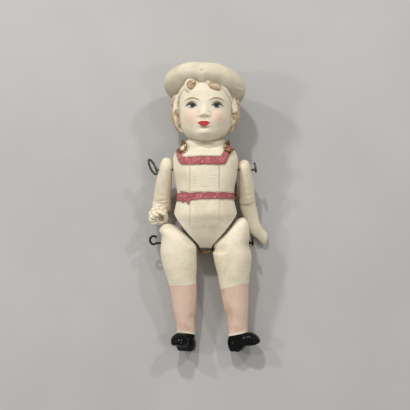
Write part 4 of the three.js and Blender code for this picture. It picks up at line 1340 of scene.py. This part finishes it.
class Paint:
    """One material's tree, with one method that makes any node."""

    def __init__(self, name):
        self.material = bpy.data.materials.new(name)
        self.material.use_nodes = True
        self.tree = self.material.node_tree
        self.tree.nodes.clear()
        self.object_place = self.node("ShaderNodeTexCoord", {}, {}, "Object")

    def node(self, kind, settings, values, output=0):
        made = self.tree.nodes.new(kind)
        for key, value in settings.items():
            setattr(made, key, value)
        for key, value in values.items():
            socket = made.inputs[key]
            if isinstance(value, Value):
                self.tree.links.new(value.socket, socket)
            else:
                socket.default_value = value
        return Value(self, made.outputs[output])

    def number(self, attribute):
        return self.node("ShaderNodeAttribute", {"attribute_name": attribute}, {}, "Fac")

    def own_place(self, place):
        """Object coordinates in a limb's own millimetres."""
        return self.node("ShaderNodeMapping", {"vector_type": "TEXTURE"}, {
            "Vector": self.object_place, "Location": tuple(place.translation),
            "Rotation": tuple(place.to_euler()), "Scale": (MM, MM, MM),
        })

    def split(self, vector):
        parts = self.node("ShaderNodeSeparateXYZ", {}, {0: vector})
        outputs = parts.socket.node.outputs
        return [Value(self, outputs[k]) for k in range(3)]

    def noise(self, vector, scale, detail=3.0, roughness=0.55):
        return self.node("ShaderNodeTexNoise", {}, {
            "Vector": vector, "Scale": scale, "Detail": detail, "Roughness": roughness,
        })

    def cells(self, vector, scale):
        """Distance from the middle of the nearest cell of a random pattern."""
        values = {"Vector": vector, "Scale": scale}
        return self.node("ShaderNodeTexVoronoi", {"feature": "F1"}, values, "Distance")

    def mix(self, factor, first, second):
        """Changes from the first colour to the second as the factor goes from 0 to 1."""
        made = self.tree.nodes.new("ShaderNodeMix")
        made.data_type = "RGBA"
        sockets = (made.inputs[0], made.inputs[6], made.inputs[7])
        for socket, value in zip(sockets, (factor, first, second)):
            if isinstance(value, Value):
                self.tree.links.new(value.socket, socket)
            elif isinstance(value, (int, float)):
                socket.default_value = value
            else:
                socket.default_value = (*value[:3], 1)
        return Value(self, made.outputs[2])

    def finish(self, base, rough, height, constants, reach, coat=None):
        """The surface shader: colour, roughness, relief and optional varying gloss."""
        relief = {"Height": height, "Strength": 1.0, "Distance": reach}
        normal = self.node("ShaderNodeBump", {}, relief)
        shader = self.tree.nodes.new("ShaderNodeBsdfPrincipled")
        for key, value in constants.items():
            shader.inputs[key].default_value = value
        links = {"Base Color": base, "Roughness": rough, "Normal": normal, "Coat Weight": coat}
        for key, value in links.items():
            if value is not None:
                self.tree.links.new(value.socket, shader.inputs[key])
        output = self.tree.nodes.new("ShaderNodeOutputMaterial")
        self.tree.links.new(shader.outputs[0], output.inputs[0])
        return self.material


def bisque_base(paint, place, colours):
    """Unglazed bisque: warm mottling, fine grain, kiln specks, and darker in the hollows."""
    wear = colours.wear
    patches = paint.noise(place, 0.11, 4.0, 0.6).step(0.42, 0.72)
    fine = paint.noise(place, 0.9, 3.0).step(0.4, 0.75)
    base = paint.mix(patches * 0.45 + fine * 0.22, colours.bisque, colours.bisque_shade)
    specks = 1 - paint.cells(place, 0.42).step(0.05, 0.12)
    specks = specks * paint.noise(place, 0.35, 1.0).step(0.5, 0.6)
    pores = (1 - paint.cells(place, 1.7).step(0.06, 0.2)) * 0.35
    hollow = 1 - paint.number("hollow").step(-0.05, 0.012)
    # Darker in the hollows of the form, more so with wear
    dirt = hollow * (0.45 + 0.5 * wear) * (0.35 + paint.noise(place, 0.5, 2.0))
    stain = paint.noise(place, 0.055, 5.0, 0.65).step(0.54, 0.74) * (0.22 * wear)
    grime = (specks * 0.55).greater(pores * wear).greater(dirt).greater(stain)
    return paint.mix(grime.lesser(0.85), base, colours.grime), hollow


def bisque_grain(paint, place):
    return paint.noise(place, 3.2, 3.0, 0.65) * 0.5 + paint.noise(place, 0.8, 2.0) * 0.35


def darken_seats(paint, base, colours):
    """Near-black on the cones that the thighs turn on: old dirt, and painted shade of the deep
    joint gaps.
    """
    return paint.mix((1 - paint.number("seat").step(0.08, 0.3)) * 0.85, base, colours.seat_dirt)


def stroke(x, y, centre, bend, half, width):
    """A brush stroke bent like a shallow arch, thinning to its ends."""
    across = x - centre[0]
    away = abs(y - centre[1] + across * across * bend)
    thin = 1 - (across * across) * (1 / half ** 2)
    inside = thin.greater(0.0) * width - away
    return inside.step(-0.03, 0.09) * thin.step(0.0, 0.15)


def disc(x, y, centre, radius, tall, soft):
    """A round or oval spot with a soft edge."""
    across, over = x - centre[0], (y - centre[1]) * (1 / tall)
    reach = (across * across + over * over).root()
    return 1 - reach.step(radius - soft, radius + soft)


def paint_face(paint, place, shown, base, head, colours):
    """Blush, brows, eyes and lips, as brush strokes seen from the front."""
    x, y, _ = paint.split(place)
    middle, chin = FACE_SHIFT, head.chin_height
    wobble = paint.noise(place, 0.9, 2.0) * 0.22 - 0.11
    brushed_x, brushed_y = x + wobble, y + wobble * 0.6

    def over(mask, tone, strength):
        nonlocal base
        base = paint.mix(mask * shown * strength, base, tone)

    def brushed(at_x, at_y, bend, half, width):
        return stroke(brushed_x, brushed_y, (at_x, at_y), bend, half, width)

    def between(value, low, high):
        return (high - value).step(-0.05, 0.1) * (value - low).step(-0.05, 0.1)

    for side in (-1, 1):
        cheek = disc(x, y, (middle + side * 5.0, chin + head.mouth_height + 2.2), 1.6, 0.95, 2.7)
        over(cheek, colours.blush, 0.55)
    for side, iris, look in ((-1, colours.left_iris, 0.4), (1, colours.right_iris, -0.2)):
        eye_x, eye_y = middle + side * head.eye_spacing, chin + head.eye_height
        over(brushed(eye_x - side * 0.2, eye_y + 2.75, 0.125, 3.15, 0.45), colours.brow, 0.85)
        over(brushed(eye_x - side * 0.1, eye_y + 1.65, 0.14, 2.7, 0.17), colours.brow, 0.6)
        beside = (x - eye_x) * (x - eye_x)
        opening = between(y - eye_y, beside * 0.17 - 0.78, 0.88 - beside * 0.21)
        over(opening, colours.eye_white, 0.7)
        over(disc(x, y, (eye_x + look, eye_y + 0.14), 1.0, 1.0, 0.14) * opening, iris, 0.95)
        over(disc(x, y, (eye_x + look, eye_y + 0.2), 0.5, 1.0, 0.12) * opening, colours.lash, 1.0)
        over(brushed(eye_x + side * 0.1, eye_y + 0.86, 0.2, 2.6, 0.52), colours.lash, 0.92)
        over(brushed(eye_x + side * 0.2, eye_y - 0.8, -0.17, 2.1, 0.2), colours.brow, 0.6)
        nostril = (middle + side * 1.15, chin + head.nose_height - 1.05)
        over(disc(brushed_x, brushed_y, nostril, 0.32, 0.6, 0.16), colours.brow, 0.35)
    over(brushed(middle, chin + head.nose_height - 0.95, -0.06, 2.3, 0.14), colours.blush, 0.6)
    beside = (brushed_x - middle + 0.2) * (brushed_x - middle + 0.2)
    top = 0.92 - beside * 0.175 - (1 - beside.step(0.0, 0.35)) * 0.24
    height = brushed_y - (chin + head.mouth_height)
    lips = (top - height).step(-0.06, 0.1) * (height - beside * 0.24 + 1.18).step(-0.06, 0.1)
    over(lips, colours.lips, 0.95)
    parting = brushed(middle - 0.2, chin + head.mouth_height + 0.02, -0.05, 2.3, 0.1)
    over(parting * lips, colours.lash, 0.3)
    return base, lips


def paint_cap(paint, place, cap, base, head, colours):
    """Olive-grey tone over the cap, with painted shade heavier under the rim."""
    x, y, _ = paint.split(place)
    shade = paint.noise(place, 0.16, 3.0).step(0.35, 0.7)
    # Painted shade: darker towards the bottom of the cap, under its rim
    painted_shade_under_rim = (1 - (y - head.cap_height + x * 0.05).step(-5.5, 1.5)) * 0.5
    return paint.mix(cap * (shade * 0.35 + painted_shade_under_rim + 0.3).lesser(0.85), base, colours.cap_shade)


def paint_hair(paint, place, hair, base, colours):
    """A wash of tan that pools between the locks and is rubbed off their ridges; the ridges are
    also lightened towards bisque as a painted highlight.
    """
    strands = paint.noise(place, 1.1, 4.0, 0.6).step(0.38, 0.66)
    ridge = paint.number("hollow").step(-0.02, 0.09)
    tone = paint.mix((1 - ridge) * (0.35 + strands * 0.65), colours.hair, colours.hair_dark)
    # Lighter on the ridges: rubbed-off paint, and a painted highlight
    tone = paint.mix((ridge * (0.15 + strands * 0.5)).lesser(0.7), tone, colours.bisque)
    return paint.mix(hair * 0.92, base, tone)


def paint_trim(paint, place, hollow, base, colours):
    """Rose paint on the collar and the belt: dark at its edge, with lighter rose rings over it as
    painted highlights of the moulded scrolls.
    """
    edge = paint.number("trim_edge") + (paint.noise(place, 1.6, 3.0) * 0.5 - 0.25) * 0.7
    worn = paint.noise(place, 0.8, 4.0, 0.7).step(0.5, 0.78)
    tone = paint.mix((hollow * 0.7).greater(worn * 0.3), colours.trim, colours.trim_dark)
    # Painted highlights: lighter rose rings scattered over the trim
    scroll_highlights = 1 - abs(paint.cells(place, 0.62) - 0.4).step(0.02, 0.13)
    scroll_highlights = scroll_highlights * paint.noise(place, 0.35, 1.0).step(0.4, 0.5)
    tone = paint.mix(scroll_highlights * 0.6, tone, colours.trim_light)
    edge_line = 1 - abs(edge - 0.12).step(0.1, 0.34)
    tone = paint.mix(edge_line * 0.85, tone, colours.trim_dark)
    trim = edge.step(-0.06, 0.1)
    return paint.mix(trim * 0.95, base, tone), trim


def casting_material(settings):
    colours, head = settings.paint, Millimetres(settings.head)
    paint = Paint("painted_bisque")
    place = paint.own_place(BODY_PLACE)
    _, y, z = paint.split(place)
    base, hollow = bisque_base(paint, place, colours)
    front = z.step(3.0, 5.5) * y.step(head.chin_height - 2, head.chin_height + 1)
    cap = 1 - paint.number("cap").step(0.0, 0.25)
    hair = (1 - paint.number("hair").step(0.05, 0.3)) * (1 - cap)
    hair = hair * paint.number("fringe").step(-0.1, 0.15)
    base = paint_cap(paint, place, cap, base, head, colours)
    base = paint_hair(paint, place, hair, base, colours)
    base, lips = paint_face(paint, place, front * (1 - hair) * (1 - cap), base, head, colours)
    base, trim = paint_trim(paint, place, hollow, base, colours)
    base = darken_seats(paint, base, colours)
    rough = 0.72 - trim * 0.12 - lips * front * 0.2 - hair * 0.06
    rough = rough + paint.noise(place, 0.6, 2.0) * 0.1
    return paint.finish(base, rough, bisque_grain(paint, place), BISQUE_GLOSS, GRAIN_REACH)


def arm_material(settings, name, place_matrix):
    paint = Paint(name)
    place = paint.own_place(place_matrix)
    base, _ = bisque_base(paint, place, settings.paint)
    rough = 0.7 + paint.noise(place, 0.6, 2.0) * 0.12
    return paint.finish(base, rough, bisque_grain(paint, place), BISQUE_GLOSS, GRAIN_REACH)


def leg_material(settings, name, place_matrix, stain_place):
    """A leg's bisque, its brushed stocking with one stain, and a chipped glossy shoe."""
    colours = settings.paint
    paint = Paint(name)
    place = paint.own_place(place_matrix)
    x, y, _ = paint.split(place)
    base, _ = bisque_base(paint, place, colours)
    wobble = paint.noise(place, 0.9, 3.0) * 0.4 - 0.2
    shoe_line = paint.number("shoe") + wobble * 0.3
    sock_top = paint.number("sock") + wobble * 0.5
    sock = sock_top.step(-0.08, 0.1) * (shoe_line - 0.8).step(-0.2, 0.25)
    lengthwise = paint.node("ShaderNodeMapping", {}, {"Vector": place, "Scale": (1, 0.25, 1)})
    strokes = paint.noise(lengthwise, 0.7, 4.0, 0.6).step(0.35, 0.75)
    browned = paint.noise(place, 0.16, 3.0, 0.6).step(0.5, 0.75)
    spot = disc(x, y, stain_place, 1.6, 1.3, 1.2)
    spot = spot * paint.noise(place, 0.5, 4.0, 0.6).step(0.3, 0.65)
    pooled = 1 - sock_top.step(0.1, 0.5)
    for strength, tone in (
        (0.95 - strokes * 0.3, colours.stocking), (browned * 0.6, colours.stocking_shade),
        (spot * 0.38, colours.stain), (pooled * 0.25, colours.stocking_shade),
    ):
        base = paint.mix(sock * strength, base, tone)
    base = darken_seats(paint, base, colours)
    ridge = paint.number("hollow").step(0.08, 0.16)
    rubbed = paint.noise(place, 1.3, 4.0, 0.7).step(0.62, 0.7) * ridge
    chips = rubbed.greater(paint.noise(place, 2.2, 3.0).step(0.76, 0.8) * 0.6)
    shoe = (1 - shoe_line.step(-0.08, 0.08)) * (1 - chips * 0.7)
    base = paint.mix(shoe, base, colours.shoe)
    smear = paint.noise(place, 1.1, 4.0, 0.6)
    matt = 0.7 + paint.noise(place, 0.6, 2.0) * 0.12
    rough = matt * (1 - shoe) + shoe * (0.14 + smear * 0.2)
    grain = bisque_grain(paint, place) * (1 - shoe * 0.8)
    height = grain + paint.noise(place, 0.9, 2.0) * shoe * 1.2
    return paint.finish(base, rough, height, SHOE_GLOSS, GRAIN_REACH, shoe * 0.22)


def wire_material(name, clean, dull, metallic):
    """Old drawn wire: clean on its worn spots, dull elsewhere, with pits."""
    paint = Paint(name)
    place = paint.own_place(laid(HIP, 0.0))
    patches = paint.noise(place, 0.7, 4.0, 0.65).step(0.4, 0.62)
    pits = 1 - paint.cells(place, 2.6).step(0.05, 0.3)
    base = paint.mix((patches * 0.75).greater(pits * 0.6), clean, dull)
    rough = 0.28 + patches * 0.3 + pits * 0.15
    height = paint.noise(place, 4.0, 3.0) * 0.5 - pits * 0.4
    return paint.finish(base, rough, height, {"Metallic": metallic}, WIRE_PIT_REACH)


# Wires: tubes along a path, made by one Geometry Nodes tree

# A wire's end is rounded over this share of its run, down to this share of its thickness
WIRE_TIP_REACH = 0.006
WIRE_TIP_WIDTH = 0.25


def tube_tree():
    """A tree that turns a path into a wire with rounded ends."""
    tree = bpy.data.node_groups.new("wire_along_path", "GeometryNodeTree")
    interface = tree.interface
    for name, kind, default in (
        ("Geometry", "Geometry", None), ("Radius", "Float", 0.4 * MM), ("Sides", "Int", 20),
        ("Spacing", "Float", 0.25 * MM), ("Material", "Material", None),
    ):
        socket = interface.new_socket(name, in_out="INPUT", socket_type=f"NodeSocket{kind}")
        if default is not None:
            socket.default_value = default
    interface.new_socket("Geometry", in_out="OUTPUT", socket_type="NodeSocketGeometry")

    def node(kind, settings=None, **values):
        """A node with its settings and its inputs, which _0 and _1 name by their place."""
        made = tree.nodes.new(kind)
        for key, value in (settings or {}).items():
            setattr(made, key, value)
        for key, value in values.items():
            place = int(key[1:]) if key[0] == "_" else key.replace("_", " ")
            if isinstance(value, bpy.types.NodeSocket):
                tree.links.new(value, made.inputs[place])
            else:
                made.inputs[place].default_value = value
        return made

    source = node("NodeGroupInput").outputs
    path = node("GeometryNodeResampleCurve", {"mode": "LENGTH"},
                Curve=source["Geometry"], Length=source["Spacing"])
    along = node("GeometryNodeSplineParameter").outputs["Factor"]
    from_end = node("ShaderNodeMath", {"operation": "PINGPONG"}, _0=along, _1=0.5)
    tip = node("ShaderNodeMapRange", {"interpolation_type": "SMOOTHSTEP"},
               Value=from_end.outputs[0], From_Min=0.0, From_Max=WIRE_TIP_REACH,
               To_Min=WIRE_TIP_WIDTH, To_Max=1.0)
    thick = node("ShaderNodeMath", {"operation": "MULTIPLY"},
                 _0=tip.outputs[0], _1=source["Radius"])
    ring = node("GeometryNodeCurvePrimitiveCircle", Resolution=source["Sides"], Radius=1.0)
    tube = node("GeometryNodeCurveToMesh", Curve=path.outputs[0],
                Profile_Curve=ring.outputs[0], Scale=thick.outputs[0], Fill_Caps=True)
    smooth = node("GeometryNodeSetShadeSmooth", Geometry=tube.outputs[0])
    painted = node("GeometryNodeSetMaterial",
                   Geometry=smooth.outputs[0], Material=source["Material"])
    node("NodeGroupOutput", _0=painted.outputs[0])
    return tree


def smooth_run(points, spacing=0.25):
    """A smooth run through points, with places at an even spacing along it."""
    points = np.array(points, float)
    along = np.concatenate([[0], np.cumsum(np.linalg.norm(np.diff(points, axis=0), axis=1))])
    table = np.column_stack([along, points])
    places = np.linspace(0, along[-1], round(along[-1] / spacing))
    return np.stack([station_value(table, column, places) for column in (1, 2, 3)], 1)


def wire_piece(name, run, radius, sides, place, replaced, material):
    """One wire: a tube along a run of points, as a plain mesh."""
    curve = bpy.data.curves.new(name, "CURVE")
    curve.dimensions = "3D"
    spline = curve.splines.new("POLY")
    spline.points.add(len(run) - 1)
    for point, at in zip(spline.points, run):
        point.co = (*(place @ Vector(at)), 1)
    source = placed(name + "_path", curve)
    tree = bpy.data.node_groups.get("wire_along_path") or tube_tree()
    modifier = source.modifiers.new("wire", "NODES")
    modifier.node_group = tree
    values = {"Radius": radius * MM, "Sides": sides, "Material": material}
    for item in tree.interface.items_tree:
        if item.in_out == "INPUT" and item.name in values:
            modifier[item.identifier] = values[item.name]
    depsgraph = bpy.context.evaluated_depsgraph_get()
    mesh = bpy.data.meshes.new_from_object(source.evaluated_get(depsgraph))
    mesh.name = name
    bpy.data.objects.remove(source)
    make_piece(name, mesh, "body", replaced)


# Operators


class DollOperator:
    """What every step shares."""
    bl_options = {"REGISTER", "UNDO"}

    @property
    def doll(self):
        return bpy.context.scene.bisque_doll

    def sizes(self, *names):
        return [Millimetres(getattr(self.doll, name)) for name in names]


class DOLL_OT_casting(DollOperator, bpy.types.Operator):
    """Model and paint the body casting: head, hair, cap and romper in one"""
    bl_idname = "doll.casting"
    bl_label = "Body casting"

    def execute(self, context):
        body, head = self.sizes("body", "head")
        piece_from_clay(
            "bisque_body", model_casting(body, head), BODY_PLACE, "body", "head_torso",
            casting_material(self.doll),
        )
        return {"FINISHED"}


class DOLL_OT_arms(DollOperator, bpy.types.Operator):
    """Model and paint both arms"""
    bl_idname = "doll.arms"
    bl_label = "Arms"

    def execute(self, context):
        body, limbs = self.sizes("body", "limbs")
        for side, model, angle in (
            ("left", model_left_arm, limbs.left_arm_slope),
            ("right", model_right_arm, limbs.right_arm_slope),
        ):
            name, place = f"bisque_{side}_arm", laid(SHOULDER, angle)
            piece_from_clay(
                name, model(limbs, body), place, f"{side}_arm", f"arm_{side}",
                arm_material(self.doll, name, place),
            )
        return {"FINISHED"}


class DOLL_OT_legs(DollOperator, bpy.types.Operator):
    """Model and paint both legs with their stockings and shoes"""
    bl_idname = "doll.legs"
    bl_label = "Legs"

    def execute(self, context):
        body, limbs = self.sizes("body", "limbs")
        place = laid(HIP, limbs.leg_slope)
        for side, shape in LEG_SHAPES.items():
            name = f"bisque_{side}_leg"
            piece_from_clay(
                name, model_leg(limbs, body, shape), place, f"{side}_leg", f"leg_{side}",
                leg_material(self.doll, name, place, shape.stain),
            )
        return {"FINISHED"}


def arc(start, end, place):
    return [place(math.cos(a), math.sin(a)) for a in np.radians(np.linspace(start, end, 24))]


class WireEnds(NamedTuple):
    """The bent ends of a joint wire: an eye at the left and a flat loop at the right.

    The eye has a half width, a half height, a lift over the wire, and the degrees that its
    arc starts and ends at. The loop has a radius, and both ends have a lean.
    """
    left: float
    right: float
    half: float
    tall: float
    lift: float
    start: float
    end: float
    lean: float
    loop: float
    loop_lean: float


def joint_wire_run(ends):
    """A wire across the doll, with an eye at its left end and a flat loop at its right end."""
    def on_eye(across, up):
        beside = ends.half * across + ends.lean * ends.tall * up - ends.left - ends.half
        return (beside, ends.lift - ends.tall * up, 0)

    def on_loop(up, back):
        rise = ends.loop * (0.5 - up)
        return (ends.right - ends.loop_lean * rise, rise, ends.loop * (0.87 + back))

    eye = arc(ends.start, ends.end, on_eye)
    flat = arc(-60, 215, on_loop)
    return [*eye[::-1], (0.5 - ends.left, 0, 0), (ends.right - 0.75, 0, 0), *flat]


class DOLL_OT_joint_wires(DollOperator, bpy.types.Operator):
    """Bend the shoulder wire and the hip wire"""
    bl_idname = "doll.joint_wires"
    bl_label = "Joint wires"

    def execute(self, context):
        body, limbs, wires = self.sizes("body", "limbs", "wires")
        colours = self.doll.wire_colours
        arm_side = arm_seat(limbs, body) + limbs.arm_width
        left, right = (
            shape.offset + limbs.thigh_width / 2 * shape.girth for shape in LEG_SHAPES.values()
        )
        shoulder = WireEnds(
            left=arm_side + 1.35, right=arm_side + limbs.arm_width * 0.05 + 0.25 + wires.stand_off,
            half=0.95, tall=2.7, lift=1.0, start=-12, end=350, lean=0.42, loop=1.5, loop_lean=0.18,
        )
        hip = WireEnds(
            left=left + 0.8, right=right + wires.stand_off,
            half=1.3, tall=1.5, lift=1.05, start=50, end=325, lean=0.0, loop=1.2, loop_lean=0.1,
        )
        for name, ends, height, slot, clean, dull in (
            ("shoulder_wire", shoulder, SHOULDER_RISE, "grey_iron_wire",
             colours.iron, colours.iron_dull),
            ("hip_wire", hip, 0.0, "black_iron_wire", colours.black_iron, colours.soot),
        ):
            place = BODY_PLACE @ Matrix.Translation((0, height, 0))
            material = wire_material(f"{name}_iron", clean, dull, IRON_METALLIC)
            wire_piece(f"bent_{name}", joint_wire_run(ends), wires.wire_width / 2, wires.sides,
                       place, name, material)
        return {"FINISHED"}


def hanger_run(body, wires):
    """The hanger's route: hooked over both shoulders, down the back and round the crotch."""
    stations = np.array(trunk_stations(body))
    heights = np.arange(body.neck_height, SHOULDER_RISE, -0.1)
    hook, size, rise = wires.hook_place, wires.hook_size, wires.hook_rise
    crest = float(heights[np.argmax(station_value(stations, 3, heights) >= hook)])
    off = wires.seat_gap + wires.hanger_width / 2
    over = off + body.trim_relief + 0.1

    def off_trunk(x, y, side, away):
        """A place that stands off the trunk's skin, in front (1) or behind (-1)."""
        columns = (3, 4 if side > 0 else 5)
        half, deep = (float(station_value(stations, column, np.array(y))) for column in columns)
        z = side * deep * (1 - min(abs(x) / half, 0.98) ** TRUNK_POWER) ** (1 / TRUNK_POWER)
        outward = Vector((
            math.copysign((abs(x) / half) ** (TRUNK_POWER - 1) / half, x), 0,
            side * (abs(z) / deep) ** (TRUNK_POWER - 1) / deep,
        )).normalized()
        return Vector((x, y, z)) + outward * away

    def strand(side, bow):
        return [
            off_trunk(side * (hook + size * 0.5), crest - size * 0.75, 1, over),
            off_trunk(side * (hook - size * 0.2), crest - size * 1.35, 1, over),
            off_trunk(side * (hook - size), crest - size * 0.8, 1, over),
            (side * (hook - size * 0.75), crest + size * 0.2, body.chest_depth * 0.55 + over),
            (side * (hook - 0.2), crest + rise * 0.85, body.chest_depth * 0.3),
            (side * hook, crest + rise, 0.3),
            (side * hook, crest - size * 0.4, -body.back_depth * 0.63 - off),
            off_trunk(side * hook, crest - body.shoulder_slope, -1, off),
            off_trunk(side * hook * (bow - 0.04), (crest + body.waist_height) / 2 - size, -1, off),
            off_trunk(side * hook * bow, body.waist_height, -1, off),
            off_trunk(side * hook, body.belly_height, -1, off),
            off_trunk(side * hook * 0.66, body.belly_height * 0.45, -1, off),
            off_trunk(side * hook * 0.32, body.belly_height * 0.13, -1, off),
            (side * body.hip_web * 0.5, -body.crotch_drop - off - 0.3, -body.hip_web * 0.3),
        ]

    return smooth_run([*strand(-1, wires.left_bow), *strand(1, wires.right_bow)[::-1]])


class DOLL_OT_hanger(DollOperator, bpy.types.Operator):
    """Bend the brass hanger"""
    bl_idname = "doll.hanger"
    bl_label = "Brass hanger"

    def execute(self, context):
        body, wires = self.sizes("body", "wires")
        colours = self.doll.wire_colours
        material = wire_material("old_brass", colours.brass, colours.tarnish, BRASS_METALLIC)
        wire_piece("bent_brass_hanger", hanger_run(body, wires), wires.hanger_width / 2,
                   wires.sides, BODY_PLACE, "brass_hanger", material)
        return {"FINISHED"}


# Each lamp: name, direction from the doll, share of the light
LAMPS = [
    ("lamp_over_head", (-0.3, 1.0, 1.0), 0.26),
    ("lamp_head_left", (-1.1, 0.9, 1.0), 0.13),
    ("lamp_head_right", (0.75, 0.9, 1.0), 0.13),
    ("lamp_far_left", (-1.2, 0.1, 1.0), 0.09),
    ("lamp_far_right", (0.55, -0.1, 1.0), 0.07),
]


class DOLL_OT_stage(DollOperator, bpy.types.Operator):
    """Set the table, the lamps and the camera"""
    bl_idname = "doll.stage"
    bl_label = "Stage"

    def execute(self, context):
        stage = self.doll.stage
        for make in (self.make_table, self.make_lamps, self.make_camera):
            make(stage)
        scene = bpy.context.scene
        scene.view_settings.view_transform = "Standard"
        world = scene.world or bpy.data.worlds.new("studio")
        scene.world = world
        world.use_nodes = True
        background = world.node_tree.nodes["Background"]
        background.inputs["Color"].default_value = (1, 1, 1, 1)
        background.inputs["Strength"].default_value = stage.light_level * stage.fill_portion
        return {"FINISHED"}

    def make_table(self, stage):
        paint = Paint("plain_table")
        place = paint.own_place(laid(HIP, 0.0))
        soft = paint.noise(place, 0.02, 3.0).step(0.3, 0.7)
        darker = tuple(channel * 0.94 for channel in stage.table)
        base = paint.mix(soft, stage.table, darker)
        rough = 0.85 + paint.noise(place, 0.5, 2.0) * 0.05
        grain = paint.noise(place, 1.5, 2.0)
        mesh = bpy.data.meshes.new("table")
        reach = 1.2
        corners = [(-reach, -reach), (reach, -reach), (reach, reach), (-reach, reach)]
        mesh.from_pydata([(x, y, cad_box[0].z) for x, y in corners], [], [(0, 1, 2, 3)])
        mesh.materials.append(
            paint.finish(base, rough, grain, {"Specular IOR Level": 0.2}, TABLE_GRAIN_REACH)
        )
        placed("table", mesh)

    def make_lamps(self, stage):
        """Lamps over the doll's head, each giving its share of the light on the table."""
        for name, direction, portion in LAMPS:
            aim = Vector(direction).normalized()
            lamp = bpy.data.lights.new(name, "AREA")
            lamp.shape = "DISK"
            lamp.size = stage.lamp_size
            power = stage.light_level * portion * (math.pi * stage.lamp_distance) ** 2
            lamp.energy = power / aim.z
            lamp_object = placed(name, lamp)
            lamp_object.location = aim * stage.lamp_distance
            lamp_object.rotation_euler = aim.to_track_quat("Z", "Y").to_euler()

    def make_camera(self, stage):
        """A camera square to the doll's front, which slopes a little from the table."""
        camera = bpy.data.cameras.new("camera")
        camera.lens = camera.sensor_width * stage.view_distance / stage.view_width
        camera.clip_start, camera.clip_end = 0.01, 10.0
        middle = BODY_PLACE @ Vector((stage.view_side / MM, stage.view_height / MM, 0))
        outward = (BODY_PLACE.to_3x3() @ Vector((0, 0, 1))).normalized()
        camera_object = placed("camera", camera)
        camera_object.location = middle + outward * stage.view_distance
        camera_object.rotation_euler = (BODY_SLOPE, 0, 0)
        bpy.context.scene.camera = camera_object


def spoken(name):
    return name.replace("_", " ").capitalize()


class DOLL_PT_panel(bpy.types.Panel):
    """Sizes, colours and steps of the doll"""
    bl_idname = "DOLL_PT_panel"
    bl_label = "Bisque doll"
    bl_space_type = "VIEW_3D"
    bl_region_type = "UI"
    bl_category = "Bisque doll"

    def draw(self, context):
        for step in STEPS:
            self.layout.operator(step.bl_idname)
        settings = context.scene.bisque_doll
        for group_name in settings.bl_rna.properties.keys():
            group = getattr(settings, group_name)
            if not isinstance(group, bpy.types.PropertyGroup):
                continue
            box = self.layout.box()
            box.label(text=spoken(group_name))
            for name in group.__annotations__:
                box.prop(group, name, text=spoken(name))


STEPS = (
    DOLL_OT_stage, DOLL_OT_casting, DOLL_OT_arms, DOLL_OT_legs, DOLL_OT_joint_wires,
    DOLL_OT_hanger,
)
GROUPS = (
    DollBodySizes, DollHeadSizes, DollLimbSizes, DollWireSizes, DollPaint, DollWireColours,
    DollStage, DollSettings,
)


def register():
    for item in (*GROUPS, *STEPS, DOLL_PT_panel):
        bpy.utils.register_class(item)
    bpy.types.Scene.bisque_doll = PointerProperty(type=DollSettings)


def unregister():
    del bpy.types.Scene.bisque_doll
    for item in reversed((*GROUPS, *STEPS, DOLL_PT_panel)):
        bpy.utils.unregister_class(item)


def main():
    register()
    bpy.ops.doll.stage()
    bpy.ops.doll.casting()
    bpy.ops.doll.arms()
    bpy.ops.doll.legs()
    bpy.ops.doll.joint_wires()
    bpy.ops.doll.hanger()


if __name__ == "__main__":
    main()
